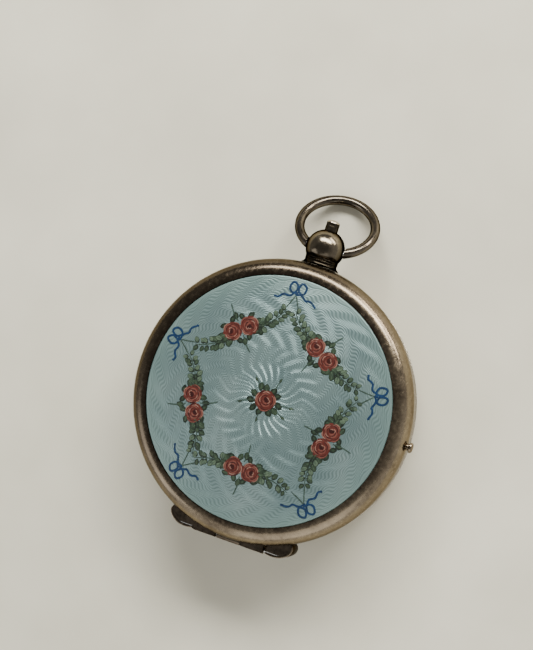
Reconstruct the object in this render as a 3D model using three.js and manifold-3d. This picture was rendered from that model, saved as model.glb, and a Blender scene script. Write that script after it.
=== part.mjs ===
// A key-wound hunter fob watch in millimetres.
// +Z points out of the enamelled lid, +Y to 12 o'clock and +X to 3 o'clock.
// The origin is the centre of the flat face of the back cover, on which the watch lies.
import * as THREE from "three";
import { mergeVertices } from "three/addons/utils/BufferGeometryUtils.js";
import Module from "manifold-3d";

const wasm = await Module();
wasm.setup();

const TAU = Math.PI * 2;
const RING = 36;
const SMALL = 10;
const GAP = 0.1;

// case
const CASE_R = 17.0;
const BAND_R = 16.95;
const BAND_Z0 = 4.4;
const BAND_Z1 = 7.8;
const BAND_MID = (BAND_Z0 + BAND_Z1) / 2;
const BAND_LOW_R = 16.7;
const BAND_WALL_R = 16.05;
const FLANGE_R = 14.1;
const FLANGE_Z0 = 6.5;
const FLANGE_Z1 = 7.4;
const BACK_R = 16.75;
const BACK_FLAT_R = 11.5;
const BACK_TOP = BAND_Z0 - GAP;
const COVER_T = 0.45;
const LID_BOTTOM = BAND_Z1 + GAP;
const ENAMEL_R = 14.9;
const ENAMEL_EDGE_Z = 10.4;
const LID_TOP = 11.5;
const ENAMEL_T = 0.45;
const BACKING_T = 0.4;
const DOME_R = (ENAMEL_R ** 2 + (LID_TOP - ENAMEL_EDGE_Z) ** 2) / (2 * (LID_TOP - ENAMEL_EDGE_Z));

// joints of the covers
const HINGE_Y = -17.05;
const LID_HINGE_Z = 7.3;
const BACK_HINGE_Z = 4.9;
const KNUCKLE_R = 0.4;
const KNUCKLE_BORE = 0.22;
const PIN_R = 0.18;
const HINGE_HALF = 6.5;
const LEAF_IN = 1.6;
const LEAF_OUT = 4.5;
const CUVETTE_HINGE = [-15.2, 4.6];
const CUVETTE_KNUCKLE_R = 0.26;

// pendant, push-piece and bow
const PIVOT_Y = 19.2;
const BALL_R = 2.36;
const NECK_R = 1.99;
const PUSH_R = 0.8;
const PUSH_TOP = 22.75;
const PUSH_STEM_R = 0.4;
const BOW_RING_R = 4.575;
const BOW_OFFSET = 4.07;
const BOW_WIRE_R = 0.595;
const BOW_TILT = Math.asin((BAND_MID - BOW_WIRE_R) / (BOW_OFFSET + BOW_RING_R));

// movement
const PLATE_R = 14.45;
const PLATE_Z0 = 5.3;
const PLATE_Z1 = 6.3;
const BAR_Z0 = 2.2;
const BAR_Z1 = 3.0;
const FOOT_TOP = PLATE_Z0 - 0.02;
const BARREL = [-6.2, 3.65];
const THIRD = [3.89, 1.42];
const FOURTH = [5.76, -1.82];
const ESCAPE = [3.74, -4.22];
const BALANCE = [3.4, -6.2];
const MINUTE = [-1.3, -1.775];
const CASE_SCREW_ANGLES = [195, 20];
const CASE_SCREW_R = 14.0;
const SPRING_R = 15.45;

const group = new THREE.Group();
group.name = "fob_watch";

// Geometry helpers --------------------------------------------------------------------------------

// Positions only, merged, without collapsed triangles, facing outwards.
function toManifold(geometry) {
  const bare = new THREE.BufferGeometry();
  bare.setAttribute("position", geometry.getAttribute("position"));
  if (geometry.index) bare.setIndex(geometry.index);
  const merged = mergeVertices(bare, 1e-4);
  const at = merged.getAttribute("position");
  const index = merged.index.array;
  const kept = [];
  let volume = 0;
  const p = [new THREE.Vector3(), new THREE.Vector3(), new THREE.Vector3()];
  for (let i = 0; i < index.length; i += 3) {
    const t = [index[i], index[i + 1], index[i + 2]];
    if (t[0] === t[1] || t[1] === t[2] || t[2] === t[0]) continue;
    kept.push(...t);
    t.forEach((v, k) => p[k].fromBufferAttribute(at, v));
    volume += p[0].dot(p[1].clone().cross(p[2]));
  }
  if (volume < 0) {
    for (let i = 0; i < kept.length; i += 3) [kept[i], kept[i + 1]] = [kept[i + 1], kept[i]];
  }
  const mesh = new wasm.Mesh({
    numProp: 3,
    vertProperties: new Float32Array(at.array),
    triVerts: new Uint32Array(kept),
  });
  return new wasm.Manifold(mesh);
}

// A body turned about Z from a profile of [radius, height] points; a ring's profile is closed.
function turned(profile, segments = RING, closed = false) {
  const points = profile.map(([r, z]) => new THREE.Vector2(r, z));
  if (closed) points.push(points[0].clone());
  const geometry = new THREE.LatheGeometry(points, segments);
  geometry.rotateX(Math.PI / 2);
  return toManifold(geometry);
}

// A turned body whose profile starts and ends on the axis.
function solidTurned(steps, segments = SMALL) {
  const profile = [[0, steps[0][1]], ...steps, [0, steps[steps.length - 1][1]]];
  return turned(profile, segments);
}

function tube(inner, outer, z0, z1, segments = SMALL) {
  return turned([[inner, z0], [outer, z0], [outer, z1], [inner, z1]], segments, true);
}

function cylinder(r, z0, z1, segments = SMALL) {
  return solidTurned([[r, z0], [r, z1]], segments);
}

function box(x0, x1, y0, y1, z0, z1) {
  const geometry = new THREE.BoxGeometry(x1 - x0, y1 - y0, z1 - z0);
  geometry.translate((x0 + x1) / 2, (y0 + y1) / 2, (z0 + z1) / 2);
  return toManifold(geometry);
}

function extruded(outline, z0, z1, holes = []) {
  const shape = new THREE.Shape(outline.map(([x, y]) => new THREE.Vector2(x, y)));
  for (const hole of holes) {
    shape.holes.push(new THREE.Path(hole.map(([x, y]) => new THREE.Vector2(x, y))));
  }
  const options = { depth: z1 - z0, bevelEnabled: false, curveSegments: 1 };
  const geometry = new THREE.ExtrudeGeometry(shape, options);
  geometry.translate(0, 0, z0);
  return toManifold(geometry);
}

function moved(body, x, y, z = 0) {
  return body.translate([x, y, z]);
}

function alongX(body) {
  return body.rotate([0, 90, 0]);
}

function alongY(body) {
  return body.rotate([-90, 0, 0]);
}

function polar(r, degrees) {
  const a = (degrees * Math.PI) / 180;
  return [r * Math.cos(a), r * Math.sin(a)];
}

function circle([x, y], r, count = SMALL) {
  const points = [];
  for (let i = 0; i < count; i += 1) {
    points.push([x + r * Math.cos((i / count) * TAU), y + r * Math.sin((i / count) * TAU)]);
  }
  return points;
}

// The convex outline around several discs, each [x, y, radius].
function around(discs, count = 14) {
  const points = discs.flatMap(([x, y, r]) => circle([x, y], r, count));
  points.sort((a, b) => a[0] - b[0] || a[1] - b[1]);
  const turn = (o, a, b) => (a[0] - o[0]) * (b[1] - o[1]) - (a[1] - o[1]) * (b[0] - o[0]);
  const half = (list) => {
    const chain = [];
    for (const p of list) {
      while (chain.length > 1 && turn(chain.at(-2), chain.at(-1), p) <= 1e-6) chain.pop();
      chain.push(p);
    }
    chain.pop();
    return chain;
  };
  return [...half(points), ...half(points.slice().reverse())];
}

function joined(first, ...others) {
  return others.reduce((whole, body) => whole.add(body), first);
}

function cut(first, ...others) {
  return others.reduce((whole, body) => whole.subtract(body), first);
}

function add(name, body, colour, roughness, metalness) {
  const mesh = body.getMesh();
  const geometry = new THREE.BufferGeometry();
  geometry.setAttribute("position", new THREE.BufferAttribute(new Float32Array(mesh.vertProperties), 3));
  geometry.setIndex(new THREE.BufferAttribute(new Uint32Array(mesh.triVerts), 1));
  geometry.computeVertexNormals();
  const material = new THREE.MeshStandardMaterial({ color: colour, roughness, metalness });
  const node = new THREE.Mesh(geometry, material);
  node.name = name;
  group.add(node);
}

const silver = (name, body) => add(name, body, 0x8d8478, 0.35, 0.9);
const gilt = (name, body) => add(name, body, 0xb59a5c, 0.35, 0.9);
const brass = (name, body) => add(name, body, 0xc2a14e, 0.3, 0.9);
const steel = (name, body) => add(name, body, 0x7c8288, 0.25, 0.95);
const blued = (name, body) => add(name, body, 0x27386b, 0.25, 0.9);

// Case --------------------------------------------------------------------------------------------

// One leaf of a cover joint: two knuckles with the webs that tie them to the cover above or below the axis.
function leafKnuckles(z, side) {
  const parts = [];
  for (const s of [-1, 1]) {
    const x0 = Math.min(s * LEAF_IN, s * LEAF_OUT);
    const x1 = Math.max(s * LEAF_IN, s * LEAF_OUT);
    parts.push(moved(alongX(cylinder(KNUCKLE_R, x0, x1)), 0, HINGE_Y, z));
    const webLow = side > 0 ? z : z - 0.65;
    const tieLow = side > 0 ? z + 0.6 : z - 1.05;
    parts.push(box(x0, x1, HINGE_Y - 0.28, HINGE_Y + 0.28, webLow, webLow + 0.65));
    parts.push(box(x0, x1, HINGE_Y - 0.22, HINGE_Y + 1.1, tieLow, tieLow + 0.45));
  }
  const bore = moved(alongX(cylinder(KNUCKLE_BORE, -LEAF_OUT - 1, LEAF_OUT + 1, 8)), 0, HINGE_Y, z);
  return [joined(...parts), bore];
}

function leafPockets(z, side) {
  const low = side > 0 ? z - 0.5 : z - 0.7;
  return [-1, 1].map((s) => {
    const x0 = Math.min(s * (LEAF_IN - GAP), s * (LEAF_OUT + GAP));
    const x1 = Math.max(s * (LEAF_IN - GAP), s * (LEAF_OUT + GAP));
    return box(x0, x1, HINGE_Y - 2, HINGE_Y + 0.5, low, low + 1.2);
  });
}

function bandKnuckles(z) {
  const spans = [
    [-HINGE_HALF, -LEAF_OUT - GAP],
    [-LEAF_IN + GAP, LEAF_IN - GAP],
    [LEAF_OUT + GAP, HINGE_HALF],
  ];
  return spans.map(([a, b]) => {
    return moved(alongX(cylinder(KNUCKLE_R, a, b)), 0, HINGE_Y, z);
  });
}

function caseBand() {
  let band = turned(
    [
      [15.3, BAND_Z0],
      [BAND_LOW_R - 0.18, BAND_Z0],
      [BAND_LOW_R, BAND_Z0 + 0.15],
      [16.85, BAND_MID],
      [BAND_R, BAND_Z1 - 0.15],
      [16.72, BAND_Z1],
      [16.1, BAND_Z1],
      [16.1, FLANGE_Z1],
      [FLANGE_R, FLANGE_Z1],
      [FLANGE_R, FLANGE_Z0],
      [BAND_WALL_R, FLANGE_Z0],
      [BAND_WALL_R, BAND_Z0 + 0.4],
      [15.3, BAND_Z0 + 0.4],
    ],
    RING,
    true,
  );
  // the joint block inside the wall, and the two lobes that carry the outer knuckles
  const block = box(-5, 5, -16.2, -15.0, BAND_Z0 + 0.25, FLANGE_Z1);
  const lobes = [-1, 1].map((s) => {
    const discs = [
      [s * 5.25, HINGE_Y + 0.2, 0.6],
      [s * 6.4, HINGE_Y + 0.25, 0.6],
      [s * 7.35, HINGE_Y + 0.7, 0.6],
      [s * 6.6, -15.2, 0.5],
      [s * 5.2, -15.6, 0.5],
    ];
    return extruded(around(discs, 10), BACK_HINGE_Z - 0.35, LID_HINGE_Z + 0.16);
  });
  band = joined(band, block, ...lobes, ...bandKnuckles(LID_HINGE_Z), ...bandKnuckles(BACK_HINGE_Z));
  // the lugs under the case screws
  for (const angle of CASE_SCREW_ANGLES) {
    band = band.add(box(14.62, 16.2, -1.4, 1.4, PLATE_Z0 + 0.05, FLANGE_Z0 + 0.1).rotate([0, 0, angle]));
  }
  // the cuvette's knuckles on the block
  for (const s of [-1, 1]) {
    const x0 = Math.min(s * 1.7, s * 3.2);
    const knuckle = moved(alongX(cylinder(CUVETTE_KNUCKLE_R, x0, x0 + 1.5)), 0, ...CUVETTE_HINGE);
    band = band.add(knuckle).add(box(x0, x0 + 1.5, -15.4, -15.0, 4.6, 4.8));
  }
  const pinHoles = [LID_HINGE_Z, BACK_HINGE_Z].map((z) =>
    moved(alongX(cylinder(KNUCKLE_BORE, -HINGE_HALF - 1, HINGE_HALF + 1, 8)), 0, HINGE_Y, z));
  const cuvettePocket = box(-1.7, 1.7, -15.6, -14.5, 4.2, 5.0);
  const cuvetteBore = moved(alongX(cylinder(0.14, -4.5, 4.5, 8)), 0, ...CUVETTE_HINGE);
  const catchSlot = box(-1.0, 0.8, 14.0, 16.15, FLANGE_Z0 - 0.1, BAND_Z1 + 0.2);
  const flySlot = box(15.45, 16.12, -0.5, 0.5, FLANGE_Z0 - 0.1, BAND_Z1 + 0.2).rotate([0, 0, 246]);
  const pushHole = moved(alongY(cylinder(PUSH_STEM_R + 0.08, 13, 18)), 0, 0, BAND_MID);
  const screwHoles = [52, 214].map((a) => moved(cylinder(0.26, 6, 7.2), ...polar(SPRING_R, a)));
  return cut(
    band,
    ...leafPockets(LID_HINGE_Z, 1),
    ...leafPockets(BACK_HINGE_Z, -1),
    ...pinHoles,
    cuvettePocket,
    cuvetteBore,
    catchSlot,
    flySlot,
    pushHole,
    ...screwHoles,
  );
}

function domeZ(r, top) {
  return top - (DOME_R - Math.sqrt(DOME_R ** 2 - r ** 2));
}

function dome(top, radii) {
  return radii.map((r) => [r, domeZ(r, top)]);
}

function lidCover() {
  const roll = [];
  for (let i = 0; i <= 4; i += 1) {
    const t = (i / 4) * (Math.PI / 2);
    const out = Math.sin(t) ** 0.84;
    const up = Math.max(0, Math.cos(t)) ** 0.9;
    roll.push([ENAMEL_R + (CASE_R - ENAMEL_R) * out, LID_BOTTOM + (ENAMEL_EDGE_Z - LID_BOTTOM) * up]);
  }
  const backing = LID_TOP - ENAMEL_T;
  const inner = backing - BACKING_T;
  const profile = [
    [0, backing],
    ...dome(backing, [7.5, ENAMEL_R]),
    ...roll,
    [16.4, LID_BOTTOM],
    [15.95, LID_BOTTOM + 0.1],
    [15.95, LID_BOTTOM + 0.4],
    [16.35, LID_BOTTOM + 0.65],
    [15.7, 9.35],
    ...dome(inner, [14.6, 7.5]),
    [0, inner],
  ];
  const [leaf, bore] = leafKnuckles(LID_HINGE_Z, 1);
  const stemHole = moved(alongX(cylinder(0.36, 15, 18)), 0, 0, LID_BOTTOM + 0.45);
  return cut(turned(profile).add(leaf), bore, stemHole);
}

function lidEnamel() {
  const lift = 0.02;
  const edge = ENAMEL_R - 0.03;
  const top = dome(LID_TOP, [5, 10, edge]);
  const under = dome(LID_TOP - ENAMEL_T + lift, [edge, 7.5]);
  return turned([[0, LID_TOP], ...top, ...under, [0, LID_TOP - ENAMEL_T + lift]]);
}

function backCover() {
  const outer = [[0, 0], [BACK_FLAT_R, 0]];
  const inner = [];
  const steps = 4;
  for (let i = 1; i <= steps; i += 1) {
    const t = (i / steps) * (Math.PI / 2);
    outer.push([BACK_FLAT_R + (BACK_R - BACK_FLAT_R) * Math.sin(t), BACK_TOP * (1 - Math.cos(t))]);
  }
  for (let i = steps; i >= 0; i -= 1) {
    const t = (i / steps) * (Math.PI / 2);
    inner.push([
      BACK_FLAT_R + (BACK_R - BACK_FLAT_R - COVER_T) * Math.sin(t),
      COVER_T + (BACK_TOP - COVER_T) * (1 - Math.cos(t)),
    ]);
  }
  const [leaf, bore] = leafKnuckles(BACK_HINGE_Z, -1);
  return cut(turned([...outer, ...inner, [0, COVER_T]]).add(leaf), bore);
}

function cuvette() {
  const flat = 12;
  const rim = 15.2;
  const low = 0.62;
  const thick = 0.3;
  const outer = [];
  const inner = [];
  const steps = 4;
  for (let i = 0; i <= steps; i += 1) {
    const t = (i / steps) * (Math.PI / 2);
    outer.push([flat + (rim - flat) * Math.sin(t), low + 3.7 * (1 - Math.cos(t))]);
    inner.unshift([flat + (rim - thick - flat) * Math.sin(t), low + thick + 3.4 * (1 - Math.cos(t))]);
  }
  const profile = [[0, low], ...outer, [rim, 4.7], [rim - thick, 4.7], ...inner, [0, low + thick]];
  const tongue = box(-1.6, 1.6, -15.2, -14.7, 4.4, 4.7);
  const knuckle = moved(alongX(cylinder(CUVETTE_KNUCKLE_R, -1.6, 1.6)), 0, ...CUVETTE_HINGE);
  const keyHoles = [BARREL, [0, 0]].map((at) => moved(cylinder(1.1, 0, 2, 14), ...at));
  const bore = moved(alongX(cylinder(0.14, -2, 2, 8)), 0, ...CUVETTE_HINGE);
  const clearances = [-3.3, 1.62].map((x) => box(x, x + 1.68, -15.7, -14.75, 4.25, 5));
  return cut(turned(profile).add(tongue).add(knuckle), ...keyHoles, bore, ...clearances);
}

function bezel() {
  return turned(
    [
      [13.05, 7.45],
      [14.5, 7.45],
      [14.5, 7.9],
      [14.2, 8.75],
      [13.95, 8.75],
      [13.95, 8.25],
      [13.05, 8.25],
    ],
    RING,
    true,
  );
}

function crystal() {
  const edge = 13.88;
  const rise = 1.1;
  const profile = [[0, 8.7 + rise]];
  for (const f of [0.5, 1]) profile.push([edge * f, 8.7 + rise * (1 - f ** 2)]);
  profile.push([edge, 8.3]);
  for (const f of [0.96, 0.5]) profile.push([edge * f, 8.3 + rise * (1 - f ** 2)]);
  profile.push([0, 8.3 + rise]);
  return turned(profile);
}

silver("case_band", caseBand());
silver("lid_cover", lidCover());
add("lid_enamel", lidEnamel(), 0xa9c7c8, 0.15, 0.0);
silver("back_cover", backCover());
silver("cuvette", cuvette());
silver("bezel", bezel());
add("crystal", crystal(), 0xe8f0f0, 0.05, 0.0);
function hingePin() {
  return alongX(cylinder(PIN_R, -HINGE_HALF + 0.1, HINGE_HALF - 0.1, 8));
}
steel("lid_hinge_pin", moved(hingePin(), 0, HINGE_Y, LID_HINGE_Z));
steel("back_hinge_pin", moved(hingePin(), 0, HINGE_Y, BACK_HINGE_Z));
steel("cuvette_hinge_pin", moved(alongX(cylinder(0.11, -3.15, 3.15, 8)), 0, ...CUVETTE_HINGE));

function thumbStud() {
  const profile = [[0.32, 16.6], [0.32, 17.08], [0.46, 17.1], [0.62, 17.3], [0.62, 17.55], [0.42, 17.75]];
  return moved(alongX(solidTurned(profile)), 0, 0, LID_BOTTOM + 0.45);
}
silver("thumb_stud", thumbStud());

// Pendant, push-piece and bow ---------------------------------------------------------------------

function pendant() {
  const ball = new THREE.SphereGeometry(BALL_R, 20, 12);
  ball.translate(0, PIVOT_Y, BAND_MID);
  const neckProfile = [
    [2.3, 16.2],
    [2.3, 17.05],
    [2.1, 17.25],
    [NECK_R, 17.42],
    [2.06, 17.58],
    [NECK_R, 17.74],
    [NECK_R, 17.98],
  ];
  const neck = alongY(solidTurned(neckProfile, 16)).scale([1, 1, 0.84]).translate([0, 0, BAND_MID]);
  const clear = turned([[0, 2], [CASE_R + 0.05, 2], [CASE_R + 0.05, 10], [0, 10]]);
  const headBore = moved(alongY(cylinder(PUSH_R + 0.1, 18.7, 24)), 0, 0, BAND_MID);
  const stemBore = moved(alongY(cylinder(PUSH_STEM_R + 0.1, 14, 20)), 0, 0, BAND_MID);
  const pivotHoles = moved(alongX(cylinder(0.4, -3, 3)), 0, PIVOT_Y, BAND_MID);
  const core = moved(alongX(cylinder(0.6, -1.2, 1.2)), 0, PIVOT_Y, BAND_MID);
  return cut(toManifold(ball).add(neck), clear, pivotHoles.subtract(core), headBore, stemBore);
}

function pushPiece() {
  const profile = [
    [PUSH_STEM_R, 15.68],
    [PUSH_STEM_R, 19.35],
    [PUSH_R, 19.4],
    [PUSH_R, PUSH_TOP - 0.15],
    [0.52, PUSH_TOP],
  ];
  return moved(alongY(solidTurned(profile)), 0, 0, BAND_MID);
}

// The bow lies in the XY plane about the pivot, with its ends cut flat against the sides of the ball.
// It is then tilted back about the pivot line.
function bow() {
  const side = BALL_R + 0.06;
  const start = -Math.acos((side - 0.7) / BOW_RING_R);
  const path = [];
  const steps = 30;
  for (let i = 0; i <= steps; i += 1) {
    const a = start + (i / steps) * (Math.PI - 2 * start);
    path.push(new THREE.Vector3(BOW_RING_R * Math.cos(a), BOW_OFFSET + BOW_RING_R * Math.sin(a), 0));
  }
  const curve = new THREE.CatmullRomCurve3(path, false, "centripetal");
  const section = new THREE.Shape(circle([0, 0], BOW_WIRE_R, 8).map(([x, y]) => new THREE.Vector2(x, y)));
  const wire = new THREE.ExtrudeGeometry(section, { steps: 30, bevelEnabled: false, extrudePath: curve });
  const open = toManifold(wire).subtract(box(-side, side, -3, 3, -3, 3));
  const pins = [-2.6, 1.5].map((x) => alongX(cylinder(0.32, x, x + 1.1, 8)));
  const upright = joined(open, ...pins);
  return upright.rotate([(-BOW_TILT * 180) / Math.PI, 0, 0]).translate([0, PIVOT_Y, BAND_MID]);
}

silver("pendant", pendant());
silver("push_piece", pushPiece());
silver("bow", bow());

// Springs of the lid ------------------------------------------------------------------------------

// A flat spring in the channel of the band: an eye, an arm on an arc, and a finger standing up at its end.
function bandSpring(eyeAngle, tipAngle, inner, outer, finger) {
  const arc = [];
  const steps = 6;
  for (let i = 0; i <= steps; i += 1) arc.push(polar(outer, eyeAngle + ((tipAngle - eyeAngle) * i) / steps));
  for (let i = steps; i >= 0; i -= 1) arc.push(polar(inner, eyeAngle + ((tipAngle - eyeAngle) * i) / steps));
  const at = polar(SPRING_R, eyeAngle);
  const eye = moved(cylinder(0.55, 5.35, FLANGE_Z0 - 0.2), ...at);
  const hole = moved(cylinder(0.27, 5, 7), ...at);
  const body = joined(extruded(arc, 5.35, FLANGE_Z0 - 0.2), eye, finger);
  return cut(body, hole);
}

const catchFinger = joined(
  box(-0.6, 0.6, 15.25, 15.65, 6.0, LID_BOTTOM + 0.75),
  box(-0.6, 0.6, 15.45, 15.91, LID_BOTTOM + 0.5, LID_BOTTOM + 0.75),
);
const flyFinger = box(15.55, 15.98, -0.35, 0.35, 6.0, LID_BOTTOM + 0.04).rotate([0, 0, 246]);
steel("lock_spring", bandSpring(52, 92.2, 15.27, 15.64, catchFinger));
steel("fly_spring", bandSpring(214, 247.2, 15.5, 15.85, flyFinger));

function screw(headR, shankR, headZ, neckZ, tipZ, slotDepth = 0.1) {
  const body = solidTurned([[headR, headZ], [headR, neckZ], [shankR, neckZ], [shankR, tipZ]], 8);
  const slot = box(-headR - 0.1, headR + 0.1, -0.08, 0.08, headZ - 0.1, headZ + slotDepth);
  return body.subtract(slot);
}

blued("lock_spring_screw", moved(screw(0.45, 0.2, 5.02, 5.3, 7.0), ...polar(SPRING_R, 52)));
blued("fly_spring_screw", moved(screw(0.45, 0.2, 5.02, 5.3, 7.0), ...polar(SPRING_R, 214)));

// Movement ----------------------------------------------------------------------------------------

// The outline of a toothed wheel, with a tooth centred on the angle `phase`.
function teeth(count, pitchR, addendum, dedendum, phase = 0) {
  const points = [];
  for (let i = 0; i < count; i += 1) {
    const a = phase + (i / count) * TAU;
    const reach = pitchR + addendum;
    points.push([reach * Math.cos(a), reach * Math.sin(a)]);
    const root = a + TAU / count / 2;
    points.push([(pitchR - dedendum) * Math.cos(root), (pitchR - dedendum) * Math.sin(root)]);
  }
  return points;
}

// The openings between the arms of a wheel.
function crossings(inner, outer, arms, halfArm) {
  const holes = [];
  for (let k = 0; k < arms; k += 1) {
    const from = (k / arms) * TAU;
    const to = ((k + 1) / arms) * TAU;
    const points = [];
    for (let i = 0; i <= 3; i += 1) {
      const a = from + halfArm / outer + ((to - from - (2 * halfArm) / outer) * i) / 3;
      points.push([outer * Math.cos(a), outer * Math.sin(a)]);
    }
    for (let i = 1; i >= 0; i -= 1) {
      const a = from + halfArm / inner + (to - from - (2 * halfArm) / inner) * i;
      points.push([inner * Math.cos(a), inner * Math.sin(a)]);
    }
    holes.push(points);
  }
  return holes;
}

// The phase that puts a gap of the follower opposite the tooth of the wheel it meets.
function meshPhase(from, to, count) {
  const direction = Math.atan2(from[1] - to[1], from[0] - to[0]);
  return direction + Math.PI / count;
}

function facing(from, to) {
  return Math.atan2(to[1] - from[1], to[0] - from[0]);
}

function trainWheel(outline, z0, z1, rimInner, hubR, arms, halfArm) {
  return extruded(outline, z0, z1, crossings(hubR, rimInner, arms, halfArm));
}

function arbor(r, z0, z1, pivotR, pivotLow, pivotHigh) {
  const profile = [[pivotR, pivotLow], [pivotR, z0], [r, z0], [r, z1], [pivotR, z1], [pivotR, pivotHigh]];
  return solidTurned(profile, 8);
}

const ORIGIN = [0, 0];
const PINION_DED = 0.12;

function centreWheel() {
  const wheel = trainWheel(teeth(64, 3.68, 0.09, 0.14, facing(ORIGIN, THIRD)), 3.1, 3.32, 3.1, 0.9, 4, 0.2);
  const pinion = extruded(teeth(10, 0.82, 0.12, 0.2, meshPhase(BARREL, ORIGIN, 10)), 4.65, 5.15);
  const sleeve = solidTurned([[0.42, 2.35], [0.42, 6.15]], 14);
  const collar = solidTurned([[0.62, 3.3], [0.62, 3.6]], 14);
  const bore = cylinder(0.31, 0, 9, 14);
  return joined(wheel, pinion, sleeve, collar).subtract(bore);
}

function thirdWheel() {
  const wheel = trainWheel(teeth(60, 3.3, 0.08, 0.13, facing(THIRD, FOURTH)), 4.2, 4.4, 2.8, 0.7, 4, 0.18);
  const pinion = extruded(teeth(8, 0.46, 0.1, PINION_DED, meshPhase(ORIGIN, THIRD, 8)), 3.05, 3.6);
  return moved(joined(wheel, pinion, arbor(0.3, 3.02, 5.25, 0.12, 2.45, 5.9)), ...THIRD);
}

function fourthWheel() {
  const outline = teeth(60, 2.85, 0.07, 0.11, facing(FOURTH, ESCAPE));
  const wheel = trainWheel(outline, 3.55, 3.72, 2.4, 0.6, 4, 0.16);
  const pinion = extruded(teeth(8, 0.44, 0.09, PINION_DED, meshPhase(THIRD, FOURTH, 8)), 4.1, 4.6);
  return moved(joined(wheel, pinion, arbor(0.26, 3.05, 5.25, 0.1, 2.45, 5.9)), ...FOURTH);
}

function escapeWheel() {
  const outline = [];
  for (let i = 0; i < 15; i += 1) {
    const a = (i / 15) * TAU;
    outline.push([1.55 * Math.cos(a), 1.55 * Math.sin(a)]);
    outline.push([2.04 * Math.cos(a - 0.06), 2.04 * Math.sin(a - 0.06)]);
    outline.push([1.95 * Math.cos(a + 0.12), 1.95 * Math.sin(a + 0.12)]);
    outline.push([1.6 * Math.cos(a + 0.16), 1.6 * Math.sin(a + 0.16)]);
  }
  const wheel = extruded(outline, 4.55, 4.7, crossings(0.5, 1.3, 3, 0.12));
  const pinion = extruded(teeth(6, 0.285, 0.08, 0.09, meshPhase(FOURTH, ESCAPE, 6)), 3.45, 3.85);
  return moved(joined(wheel, pinion, arbor(0.19, 3.4, 5.25, 0.08, 3.05, 5.9)), ...ESCAPE);
}

function balanceWheel() {
  const rim = circle(ORIGIN, 4.1, 32);
  const wheel = extruded(rim, 2.35, 2.75, crossings(0.65, 3.7, 3, 0.2));
  return moved(wheel.subtract(cylinder(0.36, 2, 3)), ...BALANCE);
}

// The hollow cylinder of the escapement, cut away where the teeth of the escape wheel pass.
function balanceStaff() {
  const body = arbor(0.33, 1.98, 5.25, 0.09, 1.6, 5.9);
  const toEscape = (facing(BALANCE, ESCAPE) * 180) / Math.PI;
  const notch = box(-0.13, 0.6, -0.6, 0.6, 4.42, 4.84).rotate([0, 0, toEscape]);
  return moved(body.subtract(notch), ...BALANCE);
}

// A flat spiral ribbon from an inner to an outer radius.
function spiral(inner, outer, turns, width, z0, z1, perTurn) {
  const inside = [];
  const outside = [];
  const steps = Math.round(turns * perTurn);
  for (let i = 0; i <= steps; i += 1) {
    const a = (i / perTurn) * TAU;
    const r = inner + ((outer - inner) * i) / steps;
    outside.push([(r + width / 2) * Math.cos(a), (r + width / 2) * Math.sin(a)]);
    inside.unshift([(r - width / 2) * Math.cos(a), (r - width / 2) * Math.sin(a)]);
  }
  return extruded([...outside, ...inside], z0, z1);
}

brass("centre_wheel", centreWheel());
brass("third_wheel", thirdWheel());
brass("fourth_wheel", fourthWheel());
steel("escape_wheel", escapeWheel());
brass("balance_wheel", balanceWheel());
steel("balance_staff", balanceStaff());
blued("hairspring", moved(spiral(0.6, 2.3, 3, 0.07, 2.12, 2.24, 12), ...BALANCE));

// barrel, its arbor and the winding click
function barrelDrum() {
  const toCentre = facing(BARREL, ORIGIN);
  const ring = extruded(teeth(80, 6.38, 0.12, 0.18, toCentre), 4.75, 5.08, [circle(ORIGIN, 5.5, 24)]);
  const drum = turned([[0.8, 3.5], [5.9, 3.5], [5.9, 4.9], [5.5, 4.9], [5.5, 3.75], [0.8, 3.75]], 24, true);
  return moved(ring.add(drum), ...BARREL);
}

function barrelArbor() {
  const turnedPart = solidTurned(
    [[0.6, 1.85], [0.6, 3.85], [1.1, 3.86], [1.1, 4.68], [0.6, 4.7], [0.6, 5.2], [0.3, 5.25], [0.3, 5.95]],
    16,
  );
  const square = box(-0.45, 0.45, -0.45, 0.45, 1.1, 2.0);
  return moved(turnedPart.add(square), ...BARREL);
}

function ratchetWheel() {
  const outline = [];
  for (let i = 0; i < 28; i += 1) {
    const a = (i / 28) * TAU;
    outline.push([1.62 * Math.cos(a), 1.62 * Math.sin(a)]);
    outline.push([1.9 * Math.cos(a + 0.02), 1.9 * Math.sin(a + 0.02)]);
  }
  return moved(extruded(outline, 1.86, 2.15, [circle(ORIGIN, 0.66)]), ...BARREL);
}

const CLICK = [-9.3, 6.3];
const CLICK_NOSE = [-7.55, 5.2];

function click() {
  const body = extruded(around([[...CLICK, 0.55], [...CLICK_NOSE, 0.1]], 14), 1.86, 2.15);
  return body.subtract(moved(cylinder(0.28, 1, 3), ...CLICK));
}

function clickSpring() {
  const outline = [];
  for (let i = 0; i <= 6; i += 1) outline.push([-10.3 + 0.42 * i, 7.9 - 0.02 * i * i - 0.12 * i]);
  for (let i = 6; i >= 0; i -= 1) outline.push([-10.3 + 0.42 * i, 7.7 - 0.02 * i * i - 0.12 * i]);
  const foot = moved(cylinder(0.35, 1.9, 2.18), -10.35, 7.8);
  return extruded(outline, 1.9, 2.12).add(foot);
}

brass("barrel_drum", barrelDrum());
brass("barrel_lid", moved(tube(0.7, 5.42, 4.82, 5.04, 24), ...BARREL));
steel("mainspring", moved(spiral(1.35, 5.2, 4, 0.22, 3.9, 4.66, 12), ...BARREL));
steel("barrel_arbor", barrelArbor());
steel("ratchet_wheel", ratchetWheel());
steel("click", click());
steel("click_spring", clickSpring());
blued("click_screw", moved(screw(0.42, 0.24, 1.58, 1.83, 2.7), ...CLICK));

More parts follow.
